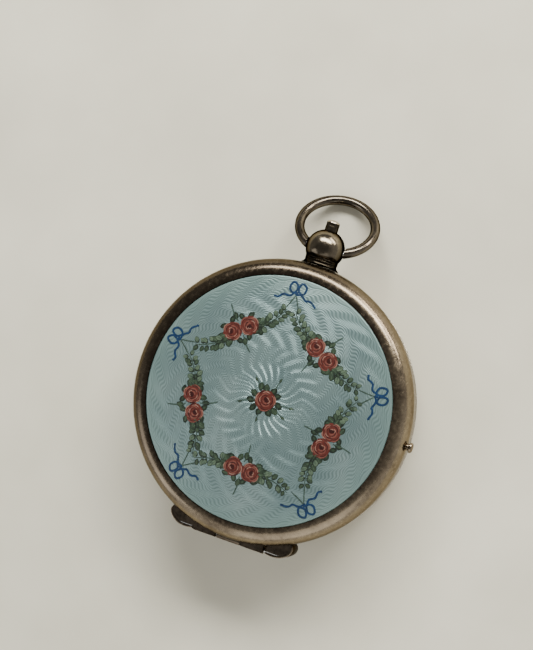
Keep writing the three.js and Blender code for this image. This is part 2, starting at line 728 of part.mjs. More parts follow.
// plate, bars and cocks
function footed(discs, foot, z0, z1, holes) {
  const bar = joined(
    extruded(around(discs, 12), z0, z1),
    moved(cylinder(foot[2], z1 - 0.05, FOOT_TOP), foot[0], foot[1]),
  );
  return cut(bar, ...holes.map(([x, y, r]) => moved(cylinder(r, 0, PLATE_Z0 + 1, 8), x, y)));
}

const SCREW_HOLE = 0.35;
const FEET = {
  barrelA: [-1.6, 11.0],
  barrelB: [-8.2, -5.6],
  centre: [3.2, 9.4],
  third: [9.6, 5.6],
  fourth: [11.4, 0.3],
  escape: [8.2, -7.3],
  balance: [-1.9, -10.1],
};

function barrelBridge() {
  const discs = [[...FEET.barrelA, 1.25], [-7.2, 4.8, 4.6], [...FEET.barrelB, 1.25]];
  const top = extruded(around(discs), BAR_Z0, BAR_Z1);
  const feet = [FEET.barrelA, FEET.barrelB].map((at) => {
    return moved(cylinder(1.1, BAR_Z1 - 0.05, FOOT_TOP, 16), ...at);
  });
  const holes = [
    [...FEET.barrelA, SCREW_HOLE],
    [...FEET.barrelB, SCREW_HOLE],
    [...BARREL, 0.7],
    [...CLICK, 0.28],
  ];
  return cut(joined(top, ...feet), ...holes.map(([x, y, r]) => moved(cylinder(r, 0, 7, 8), x, y)));
}

function balanceCock() {
  const body = footed(
    [[...BALANCE, 1.05], [...FEET.balance, 1.5]],
    [...FEET.balance, 1.4],
    1.45,
    2.03,
    [[...FEET.balance, SCREW_HOLE], [...BALANCE, 0.5]],
  );
  return body;
}

function mainPlate() {
  const holes = [
    [0, 0, 0.5],
    [...BARREL, 0.36],
    [...THIRD, 0.16],
    [...FOURTH, 0.14],
    [...ESCAPE, 0.12],
    [...BALANCE, 0.13],
    ...Object.values(FEET).map((at) => [...at, 0.3]),
    ...CASE_SCREW_ANGLES.map((a) => [...polar(CASE_SCREW_R, a), 0.3]),
    [...polar(12.2, 228), 0.34],
    [...polar(12.2, -58), 0.34],
  ];
  const openings = holes.map(([x, y, r]) => circle([x, y], r, 8));
  const disc = extruded(circle(ORIGIN, PLATE_R, RING), PLATE_Z0, PLATE_Z1, openings);
  return disc.add(moved(cylinder(0.22, PLATE_Z1 - 0.05, 6.93), ...MINUTE));
}

gilt("main_plate", mainPlate());
gilt("barrel_bridge", barrelBridge());
gilt("centre_bar", footed([[0, 0, 1.3], [...FEET.centre, 1.3]], [...FEET.centre, 1.2], BAR_Z0, BAR_Z1,
  [[0, 0, 0.5], [...FEET.centre, SCREW_HOLE]]));
gilt("third_bar", footed([[...THIRD, 0.75], [...FEET.third, 1.15]], [...FEET.third, 1.05], BAR_Z0, BAR_Z1,
  [[...THIRD, 0.16], [...FEET.third, SCREW_HOLE]]));
gilt("fourth_bar", footed([[...FOURTH, 0.62], [...FEET.fourth, 1.1]], [...FEET.fourth, 1.0], BAR_Z0, BAR_Z1,
  [[...FOURTH, 0.14], [...FEET.fourth, SCREW_HOLE]]));
gilt("escape_cock", footed([[...ESCAPE, 0.6], [...FEET.escape, 1.0]], [...FEET.escape, 0.95], 2.95, 3.33,
  [[...ESCAPE, 0.12], [...FEET.escape, SCREW_HOLE]]));
gilt("balance_cock", balanceCock());

const barScrew = (at, headZ) => moved(screw(0.65, 0.25, headZ - 0.3, headZ - 0.03, 6.1), ...at);
blued("barrel_bridge_screw_1", barScrew(FEET.barrelA, BAR_Z0));
blued("barrel_bridge_screw_2", barScrew(FEET.barrelB, BAR_Z0));
blued("centre_bar_screw", barScrew(FEET.centre, BAR_Z0));
blued("third_bar_screw", barScrew(FEET.third, BAR_Z0));
blued("fourth_bar_screw", barScrew(FEET.fourth, BAR_Z0));
blued("escape_cock_screw", barScrew(FEET.escape, 2.95));
blued("balance_cock_screw", barScrew(FEET.balance, 1.45));
CASE_SCREW_ANGLES.forEach((angle, i) => {
  const body = screw(0.92, 0.24, PLATE_Z0 - 0.32, PLATE_Z0 - 0.03, 6.1);
  blued(`case_screw_${i + 1}`, moved(body, ...polar(CASE_SCREW_R, angle)));
});

add("balance_jewel", moved(tube(0.13, 0.46, 1.5, 1.9, 12), ...BALANCE), 0xa02038, 0.1, 0.0);

// The index that shortens or lengthens the hairspring, turning about the balance jewel.
function regulator() {
  const towards = facing(FEET.balance, BALANCE);
  const tip = [2.9 * Math.cos(towards + 1.2), 2.9 * Math.sin(towards + 1.2)];
  const tail = [-1.4 * Math.cos(towards + 1.2), -1.4 * Math.sin(towards + 1.2)];
  const body = joined(
    extruded(around([[...tip, 0.1], [0, 0, 0.35]], 12), 1.18, 1.4),
    extruded(around([[...tail, 0.16], [0, 0, 0.35]], 12), 1.18, 1.4),
    cylinder(0.72, 1.18, 1.4, 12),
  );
  return moved(body.subtract(cylinder(0.4, 1, 2)), ...BALANCE);
}
steel("regulator", regulator());

// Dial side ---------------------------------------------------------------------------------------

function cannonPinion() {
  const leaves = extruded(teeth(10, 0.55, 0.1, 0.1, facing(ORIGIN, MINUTE)), 6.4, 6.66);
  return leaves.add(cylinder(0.43, 6.38, 8.2)).subtract(cylinder(0.3, 6, 9));
}

function minuteWheel() {
  const wheel = extruded(teeth(30, 1.65, 0.07, 0.12, meshPhase(ORIGIN, MINUTE, 30)), 6.42, 6.58);
  const pinion = extruded(teeth(8, 0.44, 0.08, 0.1, facing(MINUTE, ORIGIN)), 6.5, 6.9);
  return moved(wheel.add(pinion).subtract(cylinder(0.27, 6, 8, 10)), ...MINUTE);
}

function hourWheel() {
  const wheel = extruded(teeth(32, 1.76, 0.07, 0.12, meshPhase(MINUTE, ORIGIN, 32)), 6.72, 6.88);
  return wheel.add(cylinder(0.74, 6.72, 7.78, 14)).subtract(cylinder(0.53, 6, 9, 14));
}

function dial() {
  const disc = turned([[0.95, 7.0], [13.7, 7.0], [13.7, 7.3], [0.95, 7.34]], RING, true);
  const feet = [polar(12.2, 228), polar(12.2, -58)].map((at) => moved(cylinder(0.25, 5.7, 7.1, 8), ...at));
  return joined(disc, ...feet);
}

function settingArbor() {
  const rod = solidTurned([[0.55, 1.9], [0.55, 2.15], [0.25, 2.16], [0.25, 8.05]], 12);
  return rod.add(box(-0.4, 0.4, -0.4, 0.4, 1.1, 1.95));
}

// A hand: a boss, a tapered stem and a pear-shaped tip, pointing along +Y before it is turned.
function hand(boss, bore, length, width, z0, z1, clockDegrees) {
  const outline = [
    [-width * 0.5, 0],
    [-width * 0.35, length * 0.55],
    [-width, length * 0.66],
    [-width * 1.15, length * 0.74],
    [-width * 0.5, length * 0.84],
    [0, length],
    [width * 0.5, length * 0.84],
    [width * 1.15, length * 0.74],
    [width, length * 0.66],
    [width * 0.35, length * 0.55],
    [width * 0.5, 0],
  ];
  const solid = joined(extruded(outline.reverse(), z0, z1), cylinder(boss, z0, z1, 12));
  const body = solid.subtract(cylinder(bore, 7, 9));
  return body.rotate([0, 0, -clockDegrees]);
}

add("dial", dial(), 0xf4f1e6, 0.2, 0.0);
steel("cannon_pinion", cannonPinion());
steel("setting_arbor", settingArbor());
brass("minute_wheel", minuteWheel());
brass("hour_wheel", hourWheel());
blued("hour_hand", hand(1.05, 0.76, 7.4, 0.42, 7.52, 7.68, 304.5));
blued("minute_hand", hand(0.8, 0.45, 11.6, 0.36, 7.95, 8.1, 54));

export default group;
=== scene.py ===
# A fob watch lying on its back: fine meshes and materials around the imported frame, in metres.
import random
import bpy
import numpy as np
from math import acos, asin, atan2, cos, degrees, hypot, pi, radians, sin, sqrt
from mathutils import Matrix, Vector


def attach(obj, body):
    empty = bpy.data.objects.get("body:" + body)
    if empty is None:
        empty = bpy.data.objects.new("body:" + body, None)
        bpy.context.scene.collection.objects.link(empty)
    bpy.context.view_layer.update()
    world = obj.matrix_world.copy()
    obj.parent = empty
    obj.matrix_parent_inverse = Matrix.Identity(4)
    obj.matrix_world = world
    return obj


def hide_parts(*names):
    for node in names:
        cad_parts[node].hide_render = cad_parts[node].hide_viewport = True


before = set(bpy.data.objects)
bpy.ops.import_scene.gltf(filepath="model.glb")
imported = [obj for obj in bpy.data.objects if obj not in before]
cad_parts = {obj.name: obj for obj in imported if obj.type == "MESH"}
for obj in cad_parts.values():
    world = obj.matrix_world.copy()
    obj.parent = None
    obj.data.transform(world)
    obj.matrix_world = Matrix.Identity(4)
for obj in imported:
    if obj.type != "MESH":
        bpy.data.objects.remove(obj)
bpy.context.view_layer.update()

MM = 0.001
TAU = 2 * pi
RNG = random.Random(7)
PAINTED_SHADE_DEPTH = 0.74
SHARP = 38
FINE_BEVEL = 0.04 * MM
DIAL_TOP = 7.3
TWELVE_OCLOCK = 90
FIFTH = 72
HOUR_HAND_AT = 304.5
MINUTE_HAND_AT = 54

# Case dimensions in millimetres, as in the CAD
CASE_R = 17.0
BAND_Z0 = 4.4
BAND_MID = 6.1
LID_BOTTOM = 7.9
LID_INSIDE_Z = 9.2
ENAMEL_R = 14.9
ENAMEL_EDGE_Z = 10.4
LID_TOP = 11.5
ENAMEL_T = 0.45
DOME_R = (ENAMEL_R ** 2 + (LID_TOP - ENAMEL_EDGE_Z) ** 2) / (2 * (LID_TOP - ENAMEL_EDGE_Z))
HINGE_Y = -17.05
LID_HINGE_Z = 7.3
BACK_HINGE_Z = 4.9
KNUCKLE_R = 0.4
LEAF_IN = 1.6
LEAF_OUT = 4.5
PIVOT_Y = 19.2
TIP_Y = 22.42
BALL_R = 2.36
BOW_RING_R = 4.571
BOW_OFFSET = 4.07
BOW_WIRE_R = 0.595
BOW_TILT = asin((BAND_MID - BOW_WIRE_R) / (BOW_OFFSET + BOW_RING_R))
BARREL = (-6.2, 3.65)
THIRD = (3.89, 1.42)
FOURTH = (5.76, -1.82)
ESCAPE = (3.74, -4.22)
BALANCE = (3.4, -6.2)
MINUTE = (-1.3, -1.775)


# Node helpers ----------------------------------------------

class Shader:
    """A small wrapper that builds a Principled material with procedural inputs."""

    def __init__(self, name, base, roughness, metallic=0.0):
        self.material = bpy.data.materials.new(name)
        self.material.use_nodes = True
        self.tree = self.material.node_tree
        self.nodes = self.tree.nodes
        self.bsdf = self.nodes["Principled BSDF"]
        self.bsdf.inputs["Base Color"].default_value = (*base, 1)
        self.bsdf.inputs["Roughness"].default_value = roughness
        self.bsdf.inputs["Metallic"].default_value = metallic
        coords = self.nodes.new("ShaderNodeTexCoord")
        scale = self.nodes.new("ShaderNodeVectorMath")
        scale.operation = "SCALE"
        scale.inputs["Scale"].default_value = 1000
        self.link(coords.outputs["Object"], scale.inputs[0])
        self.mm = scale.outputs[0]

    def link(self, a, b):
        self.tree.links.new(a, b)

    def vector(self, operation, a, value=(0, 0, 0)):
        node = self.nodes.new("ShaderNodeVectorMath")
        node.operation = operation
        node.inputs[1].default_value = value
        self.link(a, node.inputs[0])
        return node.outputs[0]

    def stretch(self, x, y, z):
        return self.vector("MULTIPLY", self.mm, (x, y, z))

    def noise(self, scale, detail=4, vector=None, roughness=0.55):
        node = self.nodes.new("ShaderNodeTexNoise")
        node.inputs["Scale"].default_value = scale
        node.inputs["Detail"].default_value = detail
        node.inputs["Roughness"].default_value = roughness
        self.link(vector or self.mm, node.inputs["Vector"])
        return node.outputs["Fac"]

    def ramp(self, fac, stops):
        node = self.nodes.new("ShaderNodeValToRGB")
        elements = node.color_ramp.elements
        while len(elements) < len(stops):
            elements.new(0.5)
        for element, (position, colour) in zip(elements, stops):
            element.position = position
            element.color = (*colour, 1)
        self.link(fac, node.inputs["Fac"])
        return node.outputs["Color"]

    def math(self, operation, a, b=None):
        node = self.nodes.new("ShaderNodeMath")
        node.operation = operation
        for i, v in enumerate((a, b)):
            if v is None:
                continue
            if isinstance(v, (int, float)):
                node.inputs[i].default_value = v
            else:
                self.link(v, node.inputs[i])
        return node.outputs[0]

    def add(self, a, b):
        return self.math("ADD", a, b)

    def less(self, a, b):
        return self.math("SUBTRACT", a, b)

    def times(self, a, b):
        return self.math("MULTIPLY", a, b)

    def mix(self, fac, a, b):
        node = self.nodes.new("ShaderNodeMix")
        node.data_type = "RGBA"
        for socket, v in ((node.inputs[0], fac), (node.inputs[6], a), (node.inputs[7], b)):
            if isinstance(v, (int, float)):
                socket.default_value = v
            elif isinstance(v, tuple):
                socket.default_value = (*v, 1)
            else:
                self.link(v, socket)
        return node.outputs[2]

    def remap(self, fac, low, high, to_low, to_high):
        node = self.nodes.new("ShaderNodeMapRange")
        for i, v in enumerate((low, high, to_low, to_high)):
            node.inputs[i + 1].default_value = v
        self.link(fac, node.inputs[0])
        return node.outputs[0]

    def bump(self, height, strength, distance):
        node = self.nodes.new("ShaderNodeBump")
        node.inputs["Strength"].default_value = strength
        node.inputs["Distance"].default_value = distance
        self.link(height, node.inputs["Height"])
        return node.outputs["Normal"]

    def set(self, socket, value):
        if isinstance(value, (int, float)):
            self.bsdf.inputs[socket].default_value = value
        else:
            self.link(value, self.bsdf.inputs[socket])

    def separate(self, vector):
        node = self.nodes.new("ShaderNodeSeparateXYZ")
        self.link(vector, node.inputs[0])
        return node.outputs

    def radius(self):
        x, y, _ = self.separate(self.mm)
        square = self.add(self.times(x, x), self.times(y, y))
        return self.math("SQRT", square)


def silver(name, light, dark, rough, tarnish=0.5, ring_and_painted_shade=False, edge=(0.55, 0.52, 0.48), neck=False):
    """Old silver: brown tarnish in drifting patches, rubbed lighter, with fine scratches and dark specks.

    edge is the tint at a grazing view. The ring-and-shade flag darkens the ring next to the enamel and paints
    shade on the side towards 10 o'clock. neck paints shade on the pendant's neck and on the ball's lower half
    and sides.
    """
    s = Shader(name, light, rough, 1.0)
    s.bsdf.inputs["Specular Tint"].default_value = (*edge, 1)
    patches = s.noise(0.30, 6, roughness=0.62)
    small = s.noise(2.2, 5)
    both = s.add(s.times(patches, 0.62), s.times(small, 0.38))
    if ring_and_painted_shade:
        x, y, _ = s.separate(s.mm)
        ring = s.remap(s.radius(), 14.9, 15.5, 0.16, 0)
        both = s.less(both, ring)
    mid = tuple((a + b) / 2 for a, b in zip(light, dark))
    colour = s.ramp(both, [(0.28, dark), (0.28 + 0.3 * tarnish, mid), (0.64, light)])
    specks = s.noise(7, 2)
    colour = s.mix(s.ramp(specks, [(0.64, (0, 0, 0)), (0.72, (0.6, 0.6, 0.6))]), colour, dark)
    if ring_and_painted_shade:
        # painted shade: the side of the rim towards 10 o'clock is darkened, standing in for the dark
        # reflections there
        shade_side = s.add(s.times(x, -0.048), s.times(y, 0.034))
        shade = s.remap(shade_side, -0.35, 0.50, 0, PAINTED_SHADE_DEPTH)
        colour = s.mix(shade, colour, tuple(0.5 * c for c in dark))
    # painted shade: the pendant's neck, the ball's lower half and the low sides of the ball and push-piece
    # are darkened to stand in for dark reflections
    if neck:
        _, y, z = s.separate(s.mm)
        colour = s.mix(s.remap(y, PIVOT_Y - 0.3, PIVOT_Y + 0.9, 0.62, 0), colour, dark)
        colour = s.mix(s.remap(z, BAND_MID + 0.5, BAND_MID + 1.5, 0.85, 0), colour,
            tuple(0.3 * c for c in dark))
        colour = s.mix(s.remap(y, 17.9, 18.6, 0.80, 0), colour, tuple(0.3 * c for c in dark))
    s.set("Base Color", colour)
    scratches = s.noise(1.0, 8, s.stretch(3.5, 0.55, 1.2), 0.7)
    cross = s.noise(1.0, 8, s.stretch(0.5, 4.0, 1.1), 0.7)
    mottle = s.remap(small, 0.3, 0.7, rough - 0.06, rough + 0.08)
    spread = s.add(mottle, s.remap(scratches, 0.35, 0.7, -0.03, 0.05))
    s.set("Roughness", spread)
    height = s.add(s.times(scratches, 0.5), s.times(cross, 0.5))
    height = s.less(height, s.times(specks, 0.5))
    s.set("Normal", s.bump(height, 0.4, 0.00002))
    return s.material


def worked_metal(name, base, deep, rough, metallic=1.0):
    """Movement metal: even, with a faint grain and a little staining."""
    s = Shader(name, base, rough, metallic)
    stain = s.noise(0.5, 5)
    grain_fac = s.noise(6, 6)
    s.set("Base Color", s.ramp(stain, [(0.3, deep), (0.62, base)]))
    s.set("Roughness", s.remap(grain_fac, 0.3, 0.7, max(rough - 0.07, 0.05), rough + 0.1))
    s.set("Normal", s.bump(grain_fac, 0.25, 0.00001))
    return s.material


def paint(name, light, dark, rough=0.32):
    """Fired enamel paint: the colour drifts a little inside each stroke."""
    s = Shader(name, light, rough)
    s.set("Base Color", s.ramp(s.noise(2.6, 3), [(0.36, dark), (0.62, light)]))
    s.bsdf.inputs["Coat Weight"].default_value = 0.35
    s.bsdf.inputs["Coat Roughness"].default_value = 0.12
    return s.material


def enamel_material():
    """Translucent aqua enamel over engine-turned silver."""
    s = Shader("aqua_enamel", (0.13, 0.22, 0.215), 0.42, 0.0)
    r = s.radius()
    drift = s.noise(0.16, 3)
    fine = s.noise(1.3, 4)
    body = s.ramp(drift, [(0.30, (0.163, 0.247, 0.266)), (0.52, (0.200, 0.294, 0.304)),
        (0.72, (0.258, 0.348, 0.356))])
    body = s.mix(s.times(fine, 0.2), body, (0.20, 0.285, 0.285))
    body = s.mix(s.remap(r, 11.8, 14.85, 0, 0.6), body, (0.146, 0.236, 0.222))
    cut = s.nodes.new("ShaderNodeAttribute")
    cut.attribute_name = "cut"
    # painted shade: the enamel is darker along the bottoms of the cuts, deepening the lines
    body = s.mix(s.times(cut.outputs["Fac"], 0.6), body, (0.055, 0.10, 0.10))
    s.set("Base Color", body)
    s.set("Metallic", s.remap(r, 11.5, 14.6, 0.62, 0.40))
    s.set("Roughness", s.remap(drift, 0.3, 0.7, 0.33, 0.43))
    s.bsdf.inputs["Coat Weight"].default_value = 0.7
    s.bsdf.inputs["Coat Roughness"].default_value = 0.05
    s.bsdf.inputs["Coat IOR"].default_value = 1.45
    # the coat lies smooth over the cuts: its normal points away from the middle of the dome's sphere
    unit = s.vector("NORMALIZE", s.vector("SUBTRACT", s.mm, (0, 0, LID_TOP - DOME_R)))
    world = s.nodes.new("ShaderNodeVectorTransform")
    world.vector_type = "NORMAL"
    world.convert_from = "OBJECT"
    world.convert_to = "WORLD"
    s.link(unit, world.inputs[0])
    s.link(world.outputs[0], s.bsdf.inputs["Coat Normal"])
    return s.material


def glass_material():
    s = Shader("watch_glass", (0.95, 0.98, 0.98), 0.02)
    clear = s.nodes.new("ShaderNodeBsdfTransparent")
    gloss = s.nodes.new("ShaderNodeBsdfGlossy")
    gloss.inputs["Roughness"].default_value = 0.03
    fresnel = s.nodes.new("ShaderNodeFresnel")
    fresnel.inputs["IOR"].default_value = 1.45
    mix = s.nodes.new("ShaderNodeMixShader")
    s.link(fresnel.outputs[0], mix.inputs[0])
    s.link(clear.outputs[0], mix.inputs[1])
    s.link(gloss.outputs[0], mix.inputs[2])
    s.link(mix.outputs[0], s.nodes["Material Output"].inputs["Surface"])
    return s.material


def floor_material():
    s = Shader("pale_floor", (0.66, 0.64, 0.56), 0.55)
    s.set("Base Color", s.ramp(s.noise(0.05, 3), [(0.3, (0.62, 0.60, 0.495)), (0.7, (0.72, 0.70, 0.59))]))
    return s.material


def dial_material():
    s = Shader("white_dial_enamel", (0.86, 0.84, 0.77), 0.16)
    tone = s.ramp(s.noise(0.3, 5), [(0.3, (0.80, 0.775, 0.69)), (0.7, (0.88, 0.865, 0.80))])
    s.set("Base Color", s.mix(s.remap(s.radius(), 12.4, 13.7, 0, 0.4), tone, (0.60, 0.55, 0.45)))
    s.bsdf.inputs["Coat Weight"].default_value = 0.6
    return s.material


M_RIM = silver("old_silver", (0.27, 0.222, 0.16), (0.095, 0.074, 0.055), 0.22, ring_and_painted_shade=True,
    edge=(0.58, 0.54, 0.48))
M_PENDANT = silver("worn_silver_painted_shade", (0.24, 0.205, 0.155), (0.055, 0.046, 0.034), 0.17,
    edge=(0.10, 0.088, 0.072), neck=True)
M_BOW = silver("bow_silver", (0.14, 0.12, 0.094), (0.045, 0.037, 0.028), 0.17, edge=(0.12, 0.108, 0.092))
# painted highlight: a light silver for the push-piece's end
M_TIP_HIGHLIGHT = silver("tip_highlight_silver", (0.62, 0.56, 0.45), (0.34, 0.29, 0.22), 0.20, edge=(0.9, 0.86, 0.78))
M_BACK = silver("old_silver_back", (0.30, 0.25, 0.19), (0.11, 0.088, 0.067), 0.22, 0.4)
M_INSIDE = silver("clean_silver", (0.60, 0.57, 0.50), (0.30, 0.26, 0.21), 0.22, 0.25)
# the hinge silver is dark partly from tarnish and partly as painted shade for the shadow between the lid and
# the hinge
M_HINGE = silver("hinge_silver_painted_shade", (0.15, 0.123, 0.094), (0.036, 0.029, 0.023), 0.30, 0.6,
    edge=(0.3, 0.28, 0.25))
# a lighter silver for the hinge's edge strips: partly polished wear, partly a painted highlight
M_POLISHED_EDGE_HIGHLIGHT = silver("hinge_highlight_edge", (0.32, 0.265, 0.20), (0.12, 0.095, 0.07), 0.20)
M_ENAMEL = enamel_material()
M_STEEL = worked_metal("polished_steel", (0.56, 0.57, 0.58), (0.36, 0.36, 0.37), 0.22)
M_BLUED = worked_metal("blued_steel", (0.035, 0.07, 0.30), (0.03, 0.035, 0.12), 0.2)
M_BRASS = worked_metal("wheel_brass", (0.80, 0.60, 0.27), (0.58, 0.41, 0.17), 0.26)
M_GILT = worked_metal("frosted_gilt", (0.83, 0.64, 0.33), (0.62, 0.45, 0.21), 0.42)
M_GLASS = glass_material()
M_DIAL = dial_material()
M_INK = paint("dial_black", (0.025, 0.022, 0.022), (0.012, 0.010, 0.012), 0.3)
M_RUBY = worked_metal("ruby", (0.42, 0.01, 0.06), (0.30, 0.0, 0.04), 0.08, metallic=0.1)
# The painter's colours, each light and dark
PALETTE = {
    "leaf_dark": ((0.010, 0.020, 0.011), (0.004, 0.008, 0.006)),
    "leaf_mid": ((0.026, 0.046, 0.026), (0.012, 0.024, 0.015)),
    "leaf_light": ((0.075, 0.112, 0.074), (0.042, 0.070, 0.050)),
    "stem_green": ((0.030, 0.055, 0.042), (0.018, 0.034, 0.026)),
    "rose_coral": ((0.082, 0.0155, 0.011), (0.050, 0.008, 0.006)),
    "rose_dark": ((0.026, 0.002, 0.002), (0.014, 0.001, 0.001)),
    "petal_pink": ((0.135, 0.045, 0.034), (0.095, 0.025, 0.019)),
    "petal_pale": ((0.215, 0.115, 0.090), (0.155, 0.070, 0.053)),
    "bow_blue": ((0.002, 0.026, 0.082), (0.001, 0.015, 0.048)),
}
PAINTS = {name: paint(name, *pair) for name, pair in PALETTE.items()}

SILVER_SLOT = "tarnished_silver"


# Mesh helpers ----------------------------------------------

ALONG_X = Matrix.Rotation(radians(90), 4, "Y")
ALONG_Y = Matrix.Rotation(radians(-90), 4, "X")


def at(x, y, z=0.0):
    return Matrix.Translation((x, y, z))


def polar(r, a):
    return (r * cos(a), r * sin(a))


def quarter(steps):
    """Angles from 0 to a quarter turn."""
    return [i / steps * pi / 2 for i in range(steps + 1)]


def moved(matrix, verts):
    return [tuple(matrix @ Vector(v)) for v in verts]


def linked(name, data):
    """A new object in the scene."""
    obj = bpy.data.objects.new(name, data)
    bpy.context.scene.collection.objects.link(obj)
    return obj


def place(name, verts, faces, material, body, replaces=(), angle=SHARP, slot=None):
    """A smooth mesh made in millimetres, riding a body, with its material; the slot argument is not used."""
    mesh = bpy.data.meshes.new(name)
    mesh.from_pydata([(x * MM, y * MM, z * MM) for x, y, z in verts], [], faces)
    mesh.validate()
    mesh.polygons.foreach_set("use_smooth", [True] * len(mesh.polygons))
    mesh.set_sharp_from_angle(angle=radians(angle))
    mesh.materials.append(material)
    obj = linked(name, mesh)
    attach(obj, body)
    if replaces:
        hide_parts(*replaces)
    return obj


def rounded(points, radius, closed, steps=3):
    """The profile with its corners rounded; radius is one number or one per point."""
    out = []
    n = len(points)
    radii = radius if isinstance(radius, (list, tuple)) else [radius] * n
    for i, (x, y) in enumerate(points):
        if (not closed and i in (0, n - 1)) or radii[i] <= 0:
            out.append((x, y))
            continue
        ax, ay = points[(i - 1) % n]
        bx, by = points[(i + 1) % n]
        la, lb = hypot(ax - x, ay - y), hypot(bx - x, by - y)
        d = min(radii[i], la * 0.45, lb * 0.45)
        pa = (x + (ax - x) * d / la, y + (ay - y) * d / la)
        pb = (x + (bx - x) * d / lb, y + (by - y) * d / lb)
        for k in range(steps + 1):
            t = k / steps
            out.append((
                (1 - t) ** 2 * pa[0] + 2 * t * (1 - t) * x + t * t * pb[0],
                (1 - t) ** 2 * pa[1] + 2 * t * (1 - t) * y + t * t * pb[1],
            ))
    return out


def lathe_data(profile, segments, closed):
    """Verts and faces of a profile [(radius, height)] about Z; an open one starts and ends on the axis."""
    verts = []
    rings = []
    for r, z in profile:
        if r < 1e-6:
            rings.append([len(verts)])
            verts.append((0, 0, z))
        else:
            rings.append(list(range(len(verts), len(verts) + segments)))
            verts += [(*polar(r, TAU * k / segments), z) for k in range(segments)]
    faces = []
    count = len(rings)
    for i in range(count if closed else count - 1):
        a, b = rings[i], rings[(i + 1) % count]
        for k in range(segments):
            k2 = (k + 1) % segments
            if len(a) == 1 and len(b) == 1:
                continue
            if len(a) == 1:
                faces.append((a[0], b[k2], b[k]))
            elif len(b) == 1:
                faces.append((a[k], a[k2], b[0]))
            else:
                faces.append((a[k], a[k2], b[k2], b[k]))
    area = sum(
        profile[i][0] * profile[(i + 1) % count][1] - profile[(i + 1) % count][0] * profile[i][1]
        for i in range(count)
    )
    if area < 0:
        faces = [tuple(reversed(f)) for f in faces]
    return verts, faces


def turned(name, profile, material, body, segments=160, closed=False, matrix=None, replaces=()):
    """A piece turned about Z and then put in place by a matrix."""
    verts, faces = lathe_data(profile, segments, closed)
    if matrix is not None:
        verts = moved(matrix, verts)
        if matrix.determinant() < 0:
            faces = [tuple(reversed(f)) for f in faces]
    return place(name, verts, faces, material, body, replaces)


def flat_piece(name, outlines, z0, z1, material, body, bevel=0.02, matrix=None, replaces=()):
    """A sheet cut to closed outlines (the first is outside, the others holes), with bevelled edges."""
    curve = bpy.data.curves.new(name, "CURVE")
    curve.dimensions = "2D"
    curve.fill_mode = "BOTH"
    curve.extrude = (z1 - z0) / 2 - bevel
    curve.bevel_depth = bevel
    curve.bevel_resolution = 1
    curve.offset = -bevel
    for outline in outlines:
        spline = curve.splines.new("POLY")
        spline.points.add(len(outline) - 1)
        for point, (x, y) in zip(spline.points, outline):
            point.co = (x, y, 0, 1)
        spline.use_cyclic_u = True
    temp = linked(name + "_curve", curve)
    mesh = bpy.data.meshes.new_from_object(temp.evaluated_get(bpy.context.evaluated_depsgraph_get()))
    bpy.data.objects.remove(temp)
    matrix = (matrix or Matrix.Identity(4)) @ Matrix.Translation((0, 0, (z0 + z1) / 2))
    verts = [tuple(matrix @ v.co) for v in mesh.vertices]
    faces = [tuple(p.vertices) for p in mesh.polygons]
    bpy.data.meshes.remove(mesh)
    return place(name, verts, faces, material, body, replaces, 30)


def boxed(x0, x1, y0, y1, z0, z1):
    verts = [(x, y, z) for z in (z0, z1) for y in (y0, y1) for x in (x0, x1)]
    faces = [(0, 2, 3, 1), (4, 5, 7, 6), (0, 1, 5, 4), (1, 3, 7, 5), (3, 2, 6, 7), (2, 0, 4, 6)]
    return verts, faces


def prism(corners, z0, z1):
    """An upright block on four corners."""
    verts = [(x, y, z) for z in (z0, z1) for x, y in corners]
    return verts, [(3, 2, 1, 0), (4, 5, 6, 7), (0, 1, 5, 4), (1, 2, 6, 5), (2, 3, 7, 6), (3, 0, 4, 7)]


def tool(verts, faces):
    """A cutting body, removed by cut_away."""
    mesh = bpy.data.meshes.new("tool")
    mesh.from_pydata([(x * MM, y * MM, z * MM) for x, y, z in verts], [], faces)
    return linked("tool", mesh)


def cut_away(obj, tools):
    """Cuts each tool out of obj's own mesh, and removes the tools."""
    for t in tools:
        modifier = obj.modifiers.new("bool", "BOOLEAN")
        modifier.operation = "DIFFERENCE"
        modifier.solver = "EXACT"
        modifier.object = t
        bpy.context.view_layer.update()
        mesh = bpy.data.meshes.new_from_object(obj.evaluated_get(bpy.context.evaluated_depsgraph_get()))
        obj.modifiers.clear()
        old = obj.data
        mesh.name = old.name
        obj.data = mesh
        bpy.data.meshes.remove(old)
        bpy.data.objects.remove(t)
    obj.data.polygons.foreach_set("use_smooth", [True] * len(obj.data.polygons))
    obj.data.set_sharp_from_angle(angle=radians(SHARP))


def rod(x0, x1, y, z, r, segments=32, edge=0.06):
    profile = rounded([(0, x0), (r, x0), (r, x1), (0, x1)], edge, False)
    verts, faces = lathe_data(profile, segments, False)
    return moved(at(0, y, z) @ ALONG_X, verts), faces


def recoat(obj, material, chosen):
    """Gives the chosen faces a second material."""
    obj.data.materials.append(material)
    for polygon in obj.data.polygons:
        if chosen(polygon.center / MM, polygon.normal):
            polygon.material_index = 1


def merge(*pieces):
    verts, faces = [], []
    for v, f in pieces:
        base = len(verts)
        verts += list(v)
        faces += [tuple(i + base for i in face) for face in f]
    return verts, faces


def arc(r, start, end, steps):
    return [polar(r, radians(start + (end - start) * k / steps)) for k in range(steps + 1)]


def circle(r, steps):
    return arc(r, 0, 360, steps)[:-1]


def hole(r, steps):
    return circle(r, steps)[::-1]


def dome_z(r, top=LID_TOP):
    return top - (DOME_R - sqrt(DOME_R ** 2 - r * r))


# Lid -------------------------------------------------------

